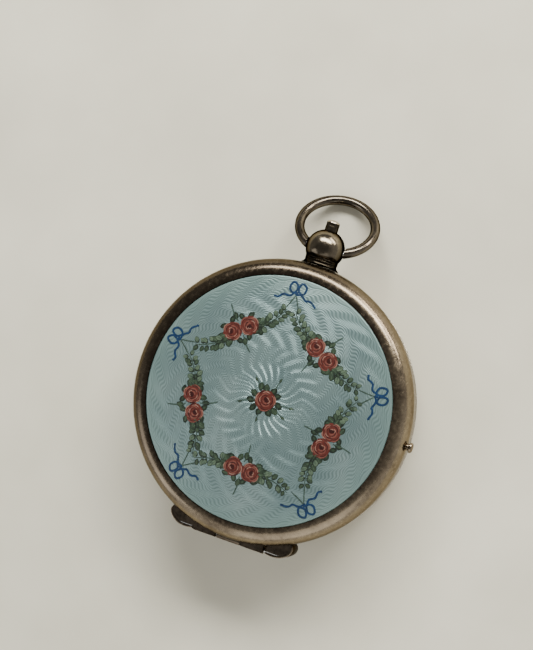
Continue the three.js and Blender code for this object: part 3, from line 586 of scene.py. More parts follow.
def lid():
    roll = []
    for t in quarter(24):
        roll.append((
            ENAMEL_R + (CASE_R - ENAMEL_R) * sin(t) ** 0.84,
            LID_BOTTOM + (ENAMEL_EDGE_Z - LID_BOTTOM) * cos(t) ** 0.90,
        ))
    backing = LID_TOP - ENAMEL_T
    inner = backing - 0.4
    under = [(r, dome_z(r, inner)) for r in (14.6, 12, 9, 6, 3)]
    over = [(r, dome_z(r, backing)) for r in (3, 6, 9, 12, ENAMEL_R)]
    corners = [(17.0, 7.9), (16.4, 7.9), (15.95, 8.0), (15.95, 8.3), (16.35, 8.55), (15.7, 9.35)]
    lip = rounded(corners + [(14.6, dome_z(14.6, inner))], [0.12, 0.05, 0.05, 0.05, 0.1, 0.2, 0], False)
    profile = [(0, backing)] + over + roll[:-1] + [(CASE_R, LID_BOTTOM + 0.12)]
    profile += lip[1:-1] + under + [(0, inner)]
    shell = turned("lid_shell", profile, M_RIM, "lid", 192, replaces=["lid_cover"])
    recoat(shell, M_INSIDE, lambda centre, normal: normal.z < -0.2 and centre.z > LID_INSIDE_Z)
    stem = rod(15, 18, 0, LID_BOTTOM + 0.45, 0.36)
    cut_away(shell, [tool(*stem)])
    leaf(LID_HINGE_Z, 1, "lid", "lid_knuckles")


def leaf(z, side, body, name):
    parts = []
    for s in (-1, 1):
        x0, x1 = sorted((s * LEAF_IN, s * LEAF_OUT))
        parts.append(rod(x0, x1, HINGE_Y, z, KNUCKLE_R))
        low = z if side > 0 else z - 0.65
        tie = z + 0.6 if side > 0 else z - 1.05
        parts.append(boxed(x0 + 0.01, x1 - 0.01, HINGE_Y - 0.28, HINGE_Y + 0.28, low, low + 0.65))
        parts.append(boxed(x0 + 0.01, x1 - 0.01, HINGE_Y - 0.22, HINGE_Y + 1.1, tie, tie + 0.45))
    place(name, *merge(*parts), M_HINGE, body)


# The engine turning: ring-shaped cuts that wave in and out. The waves drift from side to side outwards, and
# their crests make winding rays.
WAVES = 24
WAVE_COLUMNS = 26
CUT_ROWS = 4
SETTLING = 40
CUT_PITCH = 0.25
CUT_DEPTH = 0.034
SWING = 0.25
DRIFT = radians(6.2)
DRIFT_PERIOD = 4.0
DRIFT_CREST = 4.35
FIELD_EDGE = ENAMEL_R - 0.04
FIELD_SINK = 0.075


def softened_triangle(x, soft):
    return np.arcsin(soft * np.cos(TAU * x)) / asin(soft)


def enamel():
    columns = WAVES * WAVE_COLUMNS
    rows = int(FIELD_EDGE / (CUT_PITCH / CUT_ROWS))
    a = np.linspace(0, TAU, columns, endpoint=False)[None, :]
    u = (np.arange(1, rows + 1) * FIELD_EDGE / rows)[:, None]
    r = u + 0 * a
    for _ in range(SETTLING):
        swing = SWING * np.minimum(1, r / 2.6) * np.minimum(1, np.maximum(0, (FIELD_EDGE - r) / 0.7))
        drift = DRIFT * softened_triangle((r - DRIFT_CREST) / DRIFT_PERIOD, 0.95)
        r = 0.5 * r + 0.5 * (u - swing * np.sin(WAVES * (a - drift) + 0.7))
        r = np.clip(r, 0.01, FIELD_EDGE)
    r[-1, :] = FIELD_EDGE
    phase = np.cos(TAU * np.arange(1, rows + 1) / CUT_ROWS)[:, None]
    fade = np.minimum(1, (FIELD_EDGE - r) / 0.5)
    depth = CUT_DEPTH * (0.5 - 0.5 * phase) * fade
    lip = 0.10 * np.maximum(0, 1 - (FIELD_EDGE - r) / 0.16) ** 2
    z = LID_TOP - DOME_R + np.sqrt(DOME_R ** 2 - r ** 2) - FIELD_SINK - depth - lip
    verts = [(0, 0, LID_TOP - FIELD_SINK - CUT_DEPTH / 2)]
    verts += np.stack((r * np.cos(a), r * np.sin(a), z), axis=-1).reshape(-1, 3).tolist()
    ring = list(range(columns))
    nxt = ring[1:] + ring[:1]
    faces = [(0, 1 + k, 1 + n) for k, n in zip(ring, nxt)]
    for i in range(rows - 1):
        p, q = 1 + i * columns, 1 + (i + 1) * columns
        faces += [(p + k, q + k, q + n, p + n) for k, n in zip(ring, nxt)]
    base = len(verts)
    last = 1 + (rows - 1) * columns
    low = dome_z(FIELD_EDGE, LID_TOP - ENAMEL_T) + 0.02
    angles = a[0]
    verts += [(FIELD_EDGE * cos(t), FIELD_EDGE * sin(t), low) for t in angles]
    faces += [(last + k, base + k, base + n, last + n) for k, n in zip(ring, nxt)]
    centre = len(verts)
    verts.append((0, 0, LID_TOP - ENAMEL_T + 0.02))
    faces += [(base + k, centre, base + n) for k, n in zip(ring, nxt)]
    field = place("enamel_field", verts, faces, M_ENAMEL, "lid", ["lid_enamel"], angle=60)
    cut = np.zeros(len(verts))
    cut[1:base] = ((0.5 - 0.5 * phase) * fade).reshape(-1)
    field.data.attributes.new("cut", "FLOAT", "POINT").data.foreach_set("value", cut)


# Painted garlands ------------------------------------------

class Painting:
    """Raised strokes on the dome, gathered into one mesh per colour."""

    def __init__(self):
        self.layers = {}

    def add(self, key, verts, faces):
        layer = self.layers.setdefault(key, ([], []))
        base = len(layer[0])
        layer[0].extend(verts)
        layer[1].extend([tuple(i + base for i in f) for f in faces])

    def point(self, x, y, lift):
        return (x, y, dome_z(min(hypot(x, y), 14.8)) - FIELD_SINK - 0.008 + lift)

    def blob(self, key, cx, cy, rx, ry, turn, lift, wobble=0.06, sharp=0.0, count=18, crown=0.014):
        """A filled dab: an ellipse with an uneven edge; sharp draws its ends to points."""
        c, s = cos(turn), sin(turn)
        verts = [self.point(cx, cy, lift + crown)]
        for scale, rise in ((0.62, crown * 0.8), (1.0, 0.0)):
            for k in range(count):
                a = TAU * k / count
                n = 1 + RNG.uniform(-wobble, wobble)
                u = cos(a)
                v = sin(a) * (1 - sharp * abs(u) ** 1.5)
                x, y = rx * u * scale * n, ry * v * scale * n
                verts.append(self.point(cx + x * c - y * s, cy + x * s + y * c, lift + rise))
        faces = [(0, 1 + k, 1 + (k + 1) % count) for k in range(count)]
        faces += [(1 + k, 1 + count + k, 1 + count + (k + 1) % count, 1 + (k + 1) % count)
            for k in range(count)]
        self.add(key, verts, faces)

    def stroke(self, key, path, width, lift, crown=0.014, taper=(0.5, 0.4)):
        """A brush stroke along a path of points, thinning towards its ends."""
        verts = []
        n = len(path)
        for i, (x, y) in enumerate(path):
            ax, ay = path[max(i - 1, 0)]
            bx, by = path[min(i + 1, n - 1)]
            length = hypot(bx - ax, by - ay) or 1
            nx, ny = -(by - ay) / length, (bx - ax) / length
            t = i / (n - 1)
            w = width / 2 * (taper[0] + (1 - taper[0]) * min(1, t * 5)) * (taper[1] + (1 - taper[1])
                * min(1, (1 - t) * 5))
            w *= 1 + RNG.uniform(-0.08, 0.08)
            verts.append(self.point(x + nx * w, y + ny * w, lift))
            verts.append(self.point(x, y, lift + crown))
            verts.append(self.point(x - nx * w, y - ny * w, lift))
        faces = []
        for i in range(n - 1):
            a, b = 3 * i, 3 * (i + 1)
            faces += [(a + 1, a, b, b + 1), (a + 2, a + 1, b + 1, b + 2)]
        self.add(key, verts, faces)


class Frame2:
    """A local frame on the dome: u outwards and v sideways, at an angle and radius."""

    def __init__(self, angle, radius):
        a = radians(angle)
        self.out = polar(1, a)
        self.side = (-sin(a), cos(a))
        self.at = (radius * self.out[0], radius * self.out[1])
        self.angle = a

    def __call__(self, u, v):
        return (
            self.at[0] + u * self.out[0] + v * self.side[0],
            self.at[1] + u * self.out[1] + v * self.side[1],
        )


def smooth_path(points, steps=6):
    out = []
    n = len(points)
    for i in range(n - 1):
        p0, p1 = points[max(i - 1, 0)], points[i]
        p2, p3 = points[i + 1], points[min(i + 2, n - 1)]
        for k in range(steps):
            t = k / steps
            out.append(tuple(
                0.5 * (2 * p1[j] + (p2[j] - p0[j]) * t + (2 * p0[j] - 5 * p1[j] + 4 * p2[j] - p3[j]) * t * t
                       + (3 * p1[j] - p0[j] - 3 * p2[j] + p3[j]) * t ** 3)
                for j in (0, 1)
            ))
    out.append(points[-1])
    return out


def rose(art, cx, cy, r, turn):
    """A full rose: a dark heart set off centre, petals curling round it with dark gaps between them."""
    hx, hy = cx + 0.14 * r * cos(turn), cy + 0.14 * r * sin(turn)

    def petal(key, reach, start, sweep, width, lift):
        points = []
        for k in range(10):
            a = turn + start + sweep * k / 9
            f = reach * (1 + 0.09 * sin(pi * k / 9)) + RNG.uniform(-0.015, 0.015)
            slide = 1 - reach
            points.append((cx + (hx - cx) * slide + f * r * cos(a),
                cy + (hy - cy) * slide + f * r * sin(a)))
        art.stroke(key, points, r * width, lift, taper=(0.2, 0.2))

    art.blob("rose_coral", cx, cy, r, r * 0.96, turn, 0.026, 0.05, count=28, crown=0.022)
    art.blob("rose_dark", hx, hy, r * 0.30, r * 0.24, turn + 1.2, 0.048, 0.15, crown=0.008)
    dark = ((0.44, 0.6, 1.6), (0.44, 3.4, 1.5), (0.62, 2.2, 1.4), (0.64, 4.9, 1.5), (0.82, 0.9, 1.0),
        (0.84, 3.6, 1.0))
    pink = ((0.30, 2.6, 1.9), (0.53, 0.5, 1.6), (0.54, 3.3, 1.7), (0.73, 2.0, 1.5), (0.74, 4.9, 1.5),
        (0.90, 3.4, 1.2))
    pale = ((0.20, 5.4, 1.8), (0.36, 4.5, 1.3), (0.55, 1.9, 1.0), (0.72, 0.4, 1.1), (0.88, 1.7, 1.1),
        (0.91, 5.2, 1.0))
    layers = (("rose_dark", dark, 0.11, 0.042), ("petal_pink", pink, 0.15, 0.046),
        ("petal_pale", pale, 0.10, 0.050))
    for key, petals, width, lift in layers:
        for reach, start, sweep in petals:
            petal(key, reach, start, sweep, width, lift)


def leaf_dab(art, x, y, length, width, turn, shade):
    key = ("leaf_dark", "leaf_mid", "leaf_light")[shade]
    lift = 0.014 + 0.004 * shade + RNG.uniform(0, 0.004)
    art.blob("leaf_dark", x, y, length * 0.52, width * 0.56, turn, lift - 0.006, 0.05, 0.25)
    inner = key if shade else "leaf_mid"
    scale = 0.42 if shade else 0.24
    c, s = cos(turn), sin(turn)
    art.blob(inner, x + c * 0.05, y + s * 0.05, length * scale, width * scale * 1.02, turn, lift + 0.002,
        0.08, 0.2)
    if shade:
        vein = [(x - c * length * 0.34, y - s * length * 0.34), (x, y),
            (x + c * length * 0.34, y + s * length * 0.34)]
        art.stroke("leaf_dark" if shade == 2 else "leaf_light", vein, width * 0.12, lift + 0.012, 0.006)


def bow_motif(art, angle):
    f = Frame2(angle, 12.95)
    for s in (-1, 1):
        loop = []
        for k in range(23):
            a = pi * 1.18 * s + TAU * k / 22 * s
            lu, lv = 0.72 + 0.62 * cos(a), s * 0.54 + 0.46 * sin(a)
            loop.append(f(lu + 0.05 * sin(3 * a), lv))
        art.stroke("bow_blue", loop, 0.25, 0.022, taper=(0.9, 0.9))
        wave = []
        for k in range(19):
            t = k / 18
            u = 0.02 - 0.85 * t + 0.13 * sin(t * 12 + s)
            v = s * (0.05 + 2.45 * t) + 0.06 * sin(t * 11 + 1)
            wave.append(f(u, v))
        art.stroke("bow_blue", wave, 0.24, 0.022, taper=(0.8, 0.9))
        end = wave[-1]
        art.blob("bow_blue", *end, 0.16, 0.13, f.angle, 0.022, 0.2)
        art.blob("bow_blue", *wave[10], 0.15, 0.13, f.angle, 0.022, 0.2)
        art.stroke("bow_blue", [f(0.05, 0), f(0.2, s * 0.1), f(0.35, s * 0.16)], 0.22, 0.022)
        art.stroke("stem_green", smooth_path([f(-0.15, s * 0.03), f(-0.9, s * 0.34), f(-2.0, s * 0.86)]),
            0.14, 0.018)
    art.blob("bow_blue", *f(0.0, 0), 0.22, 0.19, f.angle, 0.026, 0.12)


def garland(art, angle, reach):
    """A rose pair at an angle, with leaves swagging to the bows on both sides and a twig in and out."""
    f = Frame2(angle, reach)
    for s in (-1, 1):
        bow_end = Frame2(angle + s * 36, 11.0)
        start = f(0, s * 1.7)
        third = Frame2(angle + s * 16, 8.75)(0, 0)
        last = Frame2(angle + s * 27, 9.75)(0, 0)
        spine = smooth_path([start, third, last, bow_end(0, -s * 0.62)], 8)
        art.stroke("stem_green", spine, 0.12, 0.012)
        count = len(spine)
        pairs = 9
        for i in range(pairs):
            t = (i + 0.35) / pairs
            index = min(int(t * (count - 2)), count - 2)
            x, y = spine[index]
            dx, dy = spine[index + 1][0] - x, spine[index + 1][1] - y
            heading = atan2(dy, dx)
            size = 1.06 - 0.36 * t + RNG.uniform(-0.10, 0.10)
            for side in (-1, 1):
                turn = heading + side * (0.95 + RNG.uniform(-0.3, 0.3))
                gap = size * 0.46 + 0.14 + RNG.uniform(0, 0.1)
                shade = RNG.choice((0, 0, 1, 1)) if i < 3 else RNG.choice((1, 1, 2, 2))
                leaf_dab(art, x + gap * cos(turn), y + gap * sin(turn), size, size * 0.68, turn, shade)
            if i < 5:
                leaf_dab(art, x, y, size * 0.8, size * 0.55, heading + RNG.uniform(-0.5, 0.5),
                    RNG.choice((0, 1)))
    for s in (-1, 1):
        tip = s * 3.2 if s > 0 else s * 3.1
        sway = RNG.uniform(-0.3, 0.3)
        art.stroke("stem_green", smooth_path([f(s * 0.9, sway * 0.2), f(s * 2.0, sway * 0.6 + 0.12),
            f(tip, sway)]), 0.15, 0.014, taper=(0.8, 0.6))
        for v, u in ((-0.62, 1.28), (0.60, 1.32), (-1.75, 1.05), (1.80, 1.0), (0.05, 1.62)):
            x, y = f(s * u, v + sway * 0.3)
            turn = f.angle + (0 if s > 0 else pi) + v * -0.9 * s + RNG.uniform(-0.3, 0.3)
            leaf_dab(art, x, y, 0.92, 0.60, turn, RNG.choice((0, 0, 1)))
    for v in (-1.1, 1.1):
        x, y = f(RNG.uniform(-0.08, 0.08), v)
        rose(art, x, y, 1.14, RNG.uniform(0, TAU))


def centre_rose(art):
    for k in range(11):
        a = TAU * k / 11 + RNG.uniform(-0.12, 0.12)
        r = 1.48 + RNG.uniform(-0.1, 0.3)
        leaf_dab(art, *polar(r, a), 1.02, 0.68, a + RNG.uniform(-0.5, 0.5), RNG.choice((0, 0, 1)))
        if k % 2 == 0:
            end = 2.8 + RNG.uniform(0, 0.9)
            path = [polar(1.3, a), polar(end, a + 0.1)]
            mid = ((path[0][0] + path[1][0]) / 2, (path[0][1] + path[1][1]) / 2 + 0.05)
            art.stroke("stem_green", smooth_path([path[0], mid, path[1]]), 0.11, 0.014)
            leaf_dab(art, path[1][0] * 0.86, path[1][1] * 0.86, 0.5, 0.26, a + 0.3, RNG.choice((1, 2)))
    rose(art, 0, 0, 1.25, 0.8)


def painting():
    art = Painting()
    # each swag stands a little off its even place, as laid out by hand
    for k, (reach, stray) in enumerate(((9.05, 2.0), (8.85, 2.2), (8.5, -1.4), (8.55, 3.2), (8.5, 3.2))):
        garland(art, TWELVE_OCLOCK + FIFTH // 2 + FIFTH * k + stray, reach)
    for k, stray in enumerate((2.4, 1.5, 0.8, 2.5, 2.0)):
        bow_motif(art, TWELVE_OCLOCK + FIFTH * k + stray)
    centre_rose(art)
    for key, (verts, faces) in art.layers.items():
        place("painted_" + key, verts, faces, PAINTS[key], "lid", angle=70)


# Band, hinge, back and cuvette -----------------------------

def band():
    corners = [(15.3, 4.4), (16.66, 4.4), (16.72, 5.0), (16.82, BAND_MID), (16.90, 7.2), (16.9, 7.8)]
    corners += [(16.1, 7.8), (16.1, 7.4), (14.1, 7.4), (14.1, 6.5), (16.05, 6.5), (16.05, 4.8), (15.3, 4.8)]
    edges = [0.04, 0.14, 0.3, 0.3, 0.3, 0.14, 0.05, 0.02, 0.05, 0.05, 0.05, 0.05, 0.04]
    profile = rounded(corners, edges, True)
    ring = turned("band_ring", profile, M_RIM, "case", 192, True, replaces=["case_band"])
    tools = []
    for z, side in ((LID_HINGE_Z, 1), (BACK_HINGE_Z, -1)):
        low = z - 0.5 if side > 0 else z - 0.7
        for s in (-1, 1):
            x0, x1 = sorted((s * (LEAF_IN - 0.1), s * (LEAF_OUT + 0.1)))
            tools.append(tool(*boxed(x0, x1, HINGE_Y - 2, HINGE_Y + 0.5, low, low + 1.2)))
    tools.append(tool(*boxed(-1.0, 0.8, 14.0, 16.15, 6.4, 8.0)))
    tools.append(tool(*boxed(-2.4, 2.4, -15.86, -15.0, 4.3, 4.62)))
    verts, faces = boxed(15.45, 16.12, -0.5, 0.5, 6.4, 8.0)
    turn = Matrix.Rotation(radians(246), 4, "Z")
    tools.append(tool(moved(turn, verts), faces))
    cut_away(ring, tools)
    # the joint block inside, the band's own knuckles and the two lobes that carry the outer ones
    for z, name in ((LID_HINGE_Z, "upper"), (BACK_HINGE_Z, "lower")):
        knuckle = rod(-LEAF_IN + 0.1, LEAF_IN - 0.1, HINGE_Y, z, KNUCKLE_R, edge=0.1)
        place("band_knuckle_" + name, *knuckle, M_HINGE, "case")
    place("joint_block", *boxed(-4.9, 4.9, -16.08, -15.05, 4.7, 7.38), M_HINGE, "case")
    spans = ((-1.48, 1.48), (-5.3, -4.64), (4.64, 5.3))
    posts = [boxed(x0, x1, -17.05, -16.3, 4.95, 7.25) for x0, x1 in spans]
    place("joint_posts", *merge(*posts), M_HINGE, "case")
    guide = [(4.66, -17.30), (5.4, -17.42), (6.2, -17.38), (6.95, -17.12)]
    guide += [(7.5, -16.7), (7.8, -16.2), (7.76, -15.6), (7.2, -15.0)]
    rim = smooth_path(guide, 5)
    for s, name in ((-1, "left"), (1, "right")):
        outline = [(s * x, y) for x, y in rim + [(4.66, -15.6)]]
        ridge = [(s * x, y) for x, y in rim[:-6]]
        ridge += [(s * (x - 0.16), y + 0.16) for x, y in reversed(rim[2:-6])]
        if s > 0:
            outline.reverse()
            ridge.reverse()
        flat_piece("hinge_lobe_" + name, [outline], 4.55, 7.46, M_HINGE, "case", 0.08)
        # the edge strips are a lighter silver: partly polished wear, partly a painted highlight for the
        # bright lines along the lobes' rims
        for z, tag in ((7.34, "upper"), (6.72, "middle"), (4.5, "lower")):
            flat_piece(f"hinge_edge_{name}_{tag}", [ridge], z, z + 0.24, M_POLISHED_EDGE_HIGHLIGHT, "case", 0.06)


def back():
    outer = [(0, 0), (6, 0), (11.2, 0)]
    inner = []
    top = BAND_Z0 - 0.1
    for t in quarter(24):
        outer.append((11.5 + 5.2 * sin(t), top * (1 - cos(t))))
        inner.append((11.5 + 4.75 * sin(t), 0.45 + (top - 0.45) * (1 - cos(t))))
    profile = outer[:-1] + [(16.7, top - 0.06), (16.64, top)] + inner[::-1] + [(6, 0.45), (0, 0.45)]
    shell = turned("back_shell", profile, M_BACK, "back", 192, replaces=["back_cover"])
    inward = -0.3
    recoat(shell, M_INSIDE, lambda c, normal: normal.z > 0.3 or normal.xy.dot(c.xy) < inward * c.xy.length)
    leaf(BACK_HINGE_Z, -1, "back", "back_knuckles")


def cuvette():
    outer, inner = [(0, 0.62), (6, 0.62)], []
    for t in quarter(16):
        outer.append((12 + 3.2 * sin(t), 0.62 + 3.7 * (1 - cos(t))))
        inner.append((12 + 2.9 * sin(t), 0.92 + 3.4 * (1 - cos(t))))
    profile = outer + [(15.2, 4.66), (15.16, 4.7), (14.94, 4.7), (14.9, 4.66)]
    profile += inner[::-1] + [(6, 0.92), (0, 0.92)]
    cover = turned("cuvette_shell", profile, M_INSIDE, "inner_cover", 160, replaces=["cuvette"])
    tools = []
    for x, y in (BARREL, (0, 0)):
        verts, faces = lathe_data([(0, 0), (1.1, 0), (1.1, 2), (0, 2)], 48, False)
        tools.append(tool([(vx + x, vy + y, vz) for vx, vy, vz in verts], faces))
    for s in (-1, 1):
        x0, x1 = sorted((s * 1.62, s * 3.3))
        tools.append(tool(*boxed(x0, x1, -15.7, -14.75, 4.25, 5.0)))
    cut_away(cover, tools)
    web = boxed(-1.58, 1.58, -15.2, -14.75, 4.42, 4.68)
    knuckle = merge(rod(-1.6, 1.6, -15.2, 4.6, 0.26, edge=0.04), web)
    place("cuvette_knuckle", *knuckle, M_INSIDE, "inner_cover")
    for x0, x1, name in ((-3.2, -1.7, "left"), (1.7, 3.2, "right")):
        foot = boxed(x0 + 0.02, x1 - 0.02, -15.38, -15.02, 4.62, 4.8)
        joint = merge(rod(x0, x1, -15.2, 4.6, 0.26, edge=0.04), foot)
        place("cuvette_joint_" + name, *joint, M_INSIDE, "case")
    # engine-turned rings round the key holes
    for x, y, name in ((*BARREL, "winding"), (0, 0, "setting")):
        ring = rounded([(1.16, 0.63), (1.16, 0.585), (1.42, 0.585), (1.42, 0.63)], 0.02, True)
        turned("key_hole_ring_" + name, ring, M_INSIDE, "inner_cover", 64, True, at(x, y))


# Pendant, push-piece, bow, stud ----------------------------

def pendant():
    neck = [(2.42, 16.7), (2.36, 16.98), (2.2, 17.12), (2.06, 17.24), (1.99, 17.36)]
    for y, swell in ((17.58, 0.07), (17.84, 0.06)):
        neck += [(1.98 + swell * sin(pi * t), y - 0.10 + 0.20 * t) for t in (0.08, 0.25, 0.5, 0.75, 0.92)]
    ball = []
    low = asin((17.98 - PIVOT_Y) / BALL_R)
    high = acos(0.92 / BALL_R)
    for i in range(41):
        t = low + (high - low) * i / 40
        ball.append((BALL_R * cos(t), PIVOT_Y + BALL_R * sin(t)))
    mouth = [(0.88, ball[-1][1] - 0.06), (0.88, 18.7), (0.5, 18.7), (0.5, 16.7)]
    verts, faces = lathe_data(neck + ball + mouth, 96, True)
    out = []
    for x, z, y in verts:
        flatten = 0.84 + 0.16 * min(1.0, max(0.0, (y - 17.5) / 0.7))
        saddle = sqrt(max(0.0, 17.03 ** 2 - x * x))
        out.append((x, max(y, saddle) if y < 17.1 else y, BAND_MID - z * flatten))
    obj = place("pendant_ball", out, faces, M_PENDANT, "case", ["pendant"])
    pivots = [tool(*rod(x, x + 1.8, PIVOT_Y, BAND_MID, 0.4)) for x in (-3, 1.2)]
    cut_away(obj, pivots)


def push_piece():
    profile = [(0, 15.7), (0.4, 15.7), (0.4, 19.35), (0.8, 19.4), (0.8, 21.95), (0.78, 22.0), (0.8, 22.06),
        (0.8, 22.4)]
    profile += [(0.8 - 0.14 * (1 - cos(t)), 22.4 + 0.16 * sin(t)) for t in (0.5, 1.0, 1.5)]
    profile += [(0.66 * cos(t), 22.56 + 0.19 * sin(t)) for t in (0.3, 0.6, 0.9, 1.2, 1.4)] + [(0, 22.75)]
    place_at = at(0, 0, BAND_MID) @ ALONG_Y
    button = turned("push_button", profile, M_PENDANT, "push", 48, matrix=place_at, replaces=["push_piece"])
    # painted highlight: the button's end is a much lighter silver, standing in for the light falling on it
    recoat(button, M_TIP_HIGHLIGHT, lambda centre, normal: centre.y > TIP_Y)


def bow():
    side = BALL_R + 0.06
    start = -acos((side - 0.7) / BOW_RING_R)
    steps, sides = 120, 28
    verts, faces = [], []
    for i in range(steps + 1):
        a = start + (pi - 2 * start) * i / steps
        for k in range(sides):
            t = TAU * k / sides
            r = BOW_RING_R + BOW_WIRE_R * cos(t)
            verts.append((r * cos(a), BOW_OFFSET + r * sin(a), BOW_WIRE_R * sin(t)))
    for i in range(steps):
        for k in range(sides):
            p, q = i * sides + k, i * sides + (k + 1) % sides
            faces.append((p, p + sides, q + sides, q))
    faces.append(tuple(range(sides)))
    faces.append(tuple(reversed(range(steps * sides, (steps + 1) * sides))))
    m = at(0, PIVOT_Y, BAND_MID) @ Matrix.Rotation(-BOW_TILT, 4, "X")
    obj = place("bow_ring", moved(m, verts), faces, M_BOW, "bow_ring", ["bow"])
    between, sides_of_box = boxed(-side, side, -3, 3, -3, 3)
    cut_away(obj, [tool(moved(m, between), sides_of_box)])
    pins = merge(*[rod(x, x + 1.1, 0, 0, 0.32) for x in (-2.6, 1.5)])
    place("bow_pins", moved(m, pins[0]), pins[1], M_STEEL, "bow_ring", slot=SILVER_SLOT)


def stud():
    corners = [(0, 16.6), (0.32, 16.6), (0.32, 17.06), (0.44, 17.1), (0.44, 17.2), (0.36, 17.26)]
    corners += [(0.62, 17.36), (0.62, 17.58), (0.40, 17.75), (0, 17.75)]
    profile = rounded(corners, [0, 0.02, 0.02, 0.03, 0.03, 0.02, 0.05, 0.1, 0.1, 0], False)
    m = at(0, 0, LID_BOTTOM + 0.45) @ ALONG_X
    turned("stud", profile, M_RIM, "lid", 48, matrix=m, replaces=["thumb_stud"])


# Dial side -------------------------------------------------

def dial_side():
    corners = [(13.05, 7.45), (14.5, 7.45), (14.5, 7.9), (14.2, 8.75), (13.95, 8.75), (13.95, 8.25)]
    profile = rounded(corners + [(13.05, 8.25)], 0.07, True)
    turned("bezel_ring", profile, M_INSIDE, "case", 192, True, replaces=["bezel"])
    edge = 13.88
    top = [(edge * i / 16, 8.7 + 1.1 * (1 - (i / 16) ** 2)) for i in range(17)]
    low = [(edge * i / 16, 8.3 + 1.1 * (1 - (i / 16) ** 2)) for i in range(16, -1, -1)]
    turned("glass", top + low, M_GLASS, "case", 160, replaces=["crystal"])
    disc = rounded([(0.95, 7.0), (13.7, 7.0), (13.7, 7.28), (0.95, 7.32)], 0.04, True)
    turned("dial_plate", disc, M_DIAL, "case", 160, True, replaces=["dial"])
    marks = []
    for i in range(60):
        a = TAU * i / 60
        long = 0.75 if i % 5 == 0 else 0.55
        half = 0.075 if i % 5 == 0 else 0.035
        r0 = 12.55
        r1 = r0 + long
        c, s = cos(a), sin(a)
        sides = ((r0, -half), (r1, -half), (r1, half), (r0, half))
        corners = [(r * c - w * s, r * s + w * c) for r, w in sides]
        marks.append(prism(corners, DIAL_TOP - 0.03, DIAL_TOP + 0.02))
    for r in (12.5, 13.15):
        line = ((r, -0.03), (r + 0.06, -0.03), (r + 0.06, 0.02), (r, 0.02))
        marks.append(lathe_data([(x, DIAL_TOP + h) for x, h in line], 160, True))
    place("minute_track", *merge(*marks), M_INK, "case")
    names = ["XII", "I", "II", "III", "IIII", "V", "VI", "VII", "VIII", "IX", "X", "XI"]
    for i, text in enumerate(names):
        numeral(text, i)


def numeral(text, hour):
    """A painted roman numeral: thick and thin strokes with serifs, standing radially."""
    tall, gap = 2.15, 0.30
    widths = {"I": 0.30, "V": 1.05, "X": 1.05}
    total = sum(widths[c] for c in text) + gap * (len(text) - 1)
    x = -total / 2
    shapes = []

    def bar(x0, x1, half):
        shapes.append([(x0 - half, 0), (x0 + half, 0), (x1 + half, tall), (x1 - half, tall)])

    for c in text:
        w = widths[c]
        if c == "I":
            bar(x + w / 2, x + w / 2, 0.15)
        elif c == "V":
            bar(x + w / 2, x + 0.14, 0.15)
            bar(x + w / 2 + 0.02, x + w - 0.06, 0.045)
        else:
            bar(x + w - 0.12, x + 0.12, 0.15)
            bar(x + 0.08, x + w - 0.08, 0.045)
        x += w + gap
    reach = total / 2 + 0.12
    for y in (0, tall):
        shapes.append([(-reach, y - 0.045), (reach, y - 0.045), (reach, y + 0.045), (-reach, y + 0.045)])
    turn = Matrix.Rotation(-TAU * hour / 12, 4, "Z") @ at(0, 9.75)
    parts = []
    for index, shape in enumerate(shapes):
        top = 7.325 + 0.0008 * index
        verts, faces = prism(shape, 7.27, top)
        parts.append((moved(turn, verts), faces))
    place(f"numeral_{hour or 12}", *merge(*parts), M_INK, "case")


def hand(name, boss, bore, length, width, z0, z1, turn, body, node):
    """A pierced pear hand with a fine point."""
    right = [(0.5 * width, 0), (0.34 * width, length * 0.50), (0.5 * width, length * 0.54),
        (0.42 * width, length * 0.57)]
    right += [(width * (0.35 + 0.80 * sin(pi * t)), length * (0.58 + 0.24 * t))
        for t in (0.1, 0.25, 0.4, 0.55, 0.7, 0.85)]
    right += [(width * 0.30, length * 0.85), (0.05, length)]
    start = degrees(atan2(sqrt(boss ** 2 - (0.5 * width) ** 2), 0.5 * width))
    rim = arc(boss, 180 - start, 360 + start, 36)
    body_outline = rim + right[1:] + [(-x, y) for x, y in reversed(right[1:])]
    pierced = [(0.55 * width * cos(t), length * 0.70 + length * 0.065 * sin(t))
        for t in [TAU * k / 20 for k in range(20)]][::-1]
    m = Matrix.Rotation(-radians(turn), 4, "Z")
    flat_piece(name, [body_outline, hole(bore, 28), pierced], z0, z1, M_BLUED, body, 0.03, m, [node])


# Movement --------------------------------------------------

def toothed(count, pitch_r, addendum, dedendum, phase):
    flank = [(-0.34, -dedendum), (-0.24, -0.02), (-0.13, addendum * 0.75)]
    tooth = flank + [(0, addendum)] + [(-f, r) for f, r in reversed(flank)]
    points = []
    step = TAU / count
    for i in range(count):
        a = phase + i * step
        points += [polar(pitch_r + r, a + f * step) for f, r in tooth]
    return points


def crossings(inner, outer, arms, half):
    holes = []
    for k in range(arms):
        a0, a1 = TAU * k / arms, TAU * (k + 1) / arms
        points = [polar(outer, a0 + half / outer + (a1 - a0 - 2 * half / outer) * i / 12)
            for i in range(13)]
        points += [polar(inner, a1 - half / inner - (a1 - a0 - 2 * half / inner) * i / 6) for i in range(7)]
        holes.append(points[::-1])
    return holes


def facing(a, b):
    return atan2(b[1] - a[1], b[0] - a[0])


def mesh_phase(other, here, count):
    return facing(here, other) + pi / count


def wheel(name, node, body, centre, rim, z0, z1, hub, inner, arms, half, pinion, p0, p1, staff,
        material=M_BRASS):
    """A crossed-out wheel with its pinion and arbor."""
    m = at(*centre)
    flat_piece(name, [rim] + crossings(hub, inner, arms, half), z0, z1, material, body, 0.015, m, [node])
    flat_piece(name + "_pinion", [pinion], p0, p1, M_STEEL, body, 0.02, m)
    turned(name + "_arbor", rounded(staff, 0.03, False), M_STEEL, body, 32, matrix=m)


def arbor(r, z0, z1, pivot, low, high):
    return [(0, low), (pivot, low), (pivot, z0), (r, z0), (r, z1), (pivot, z1), (pivot, high), (0, high)]


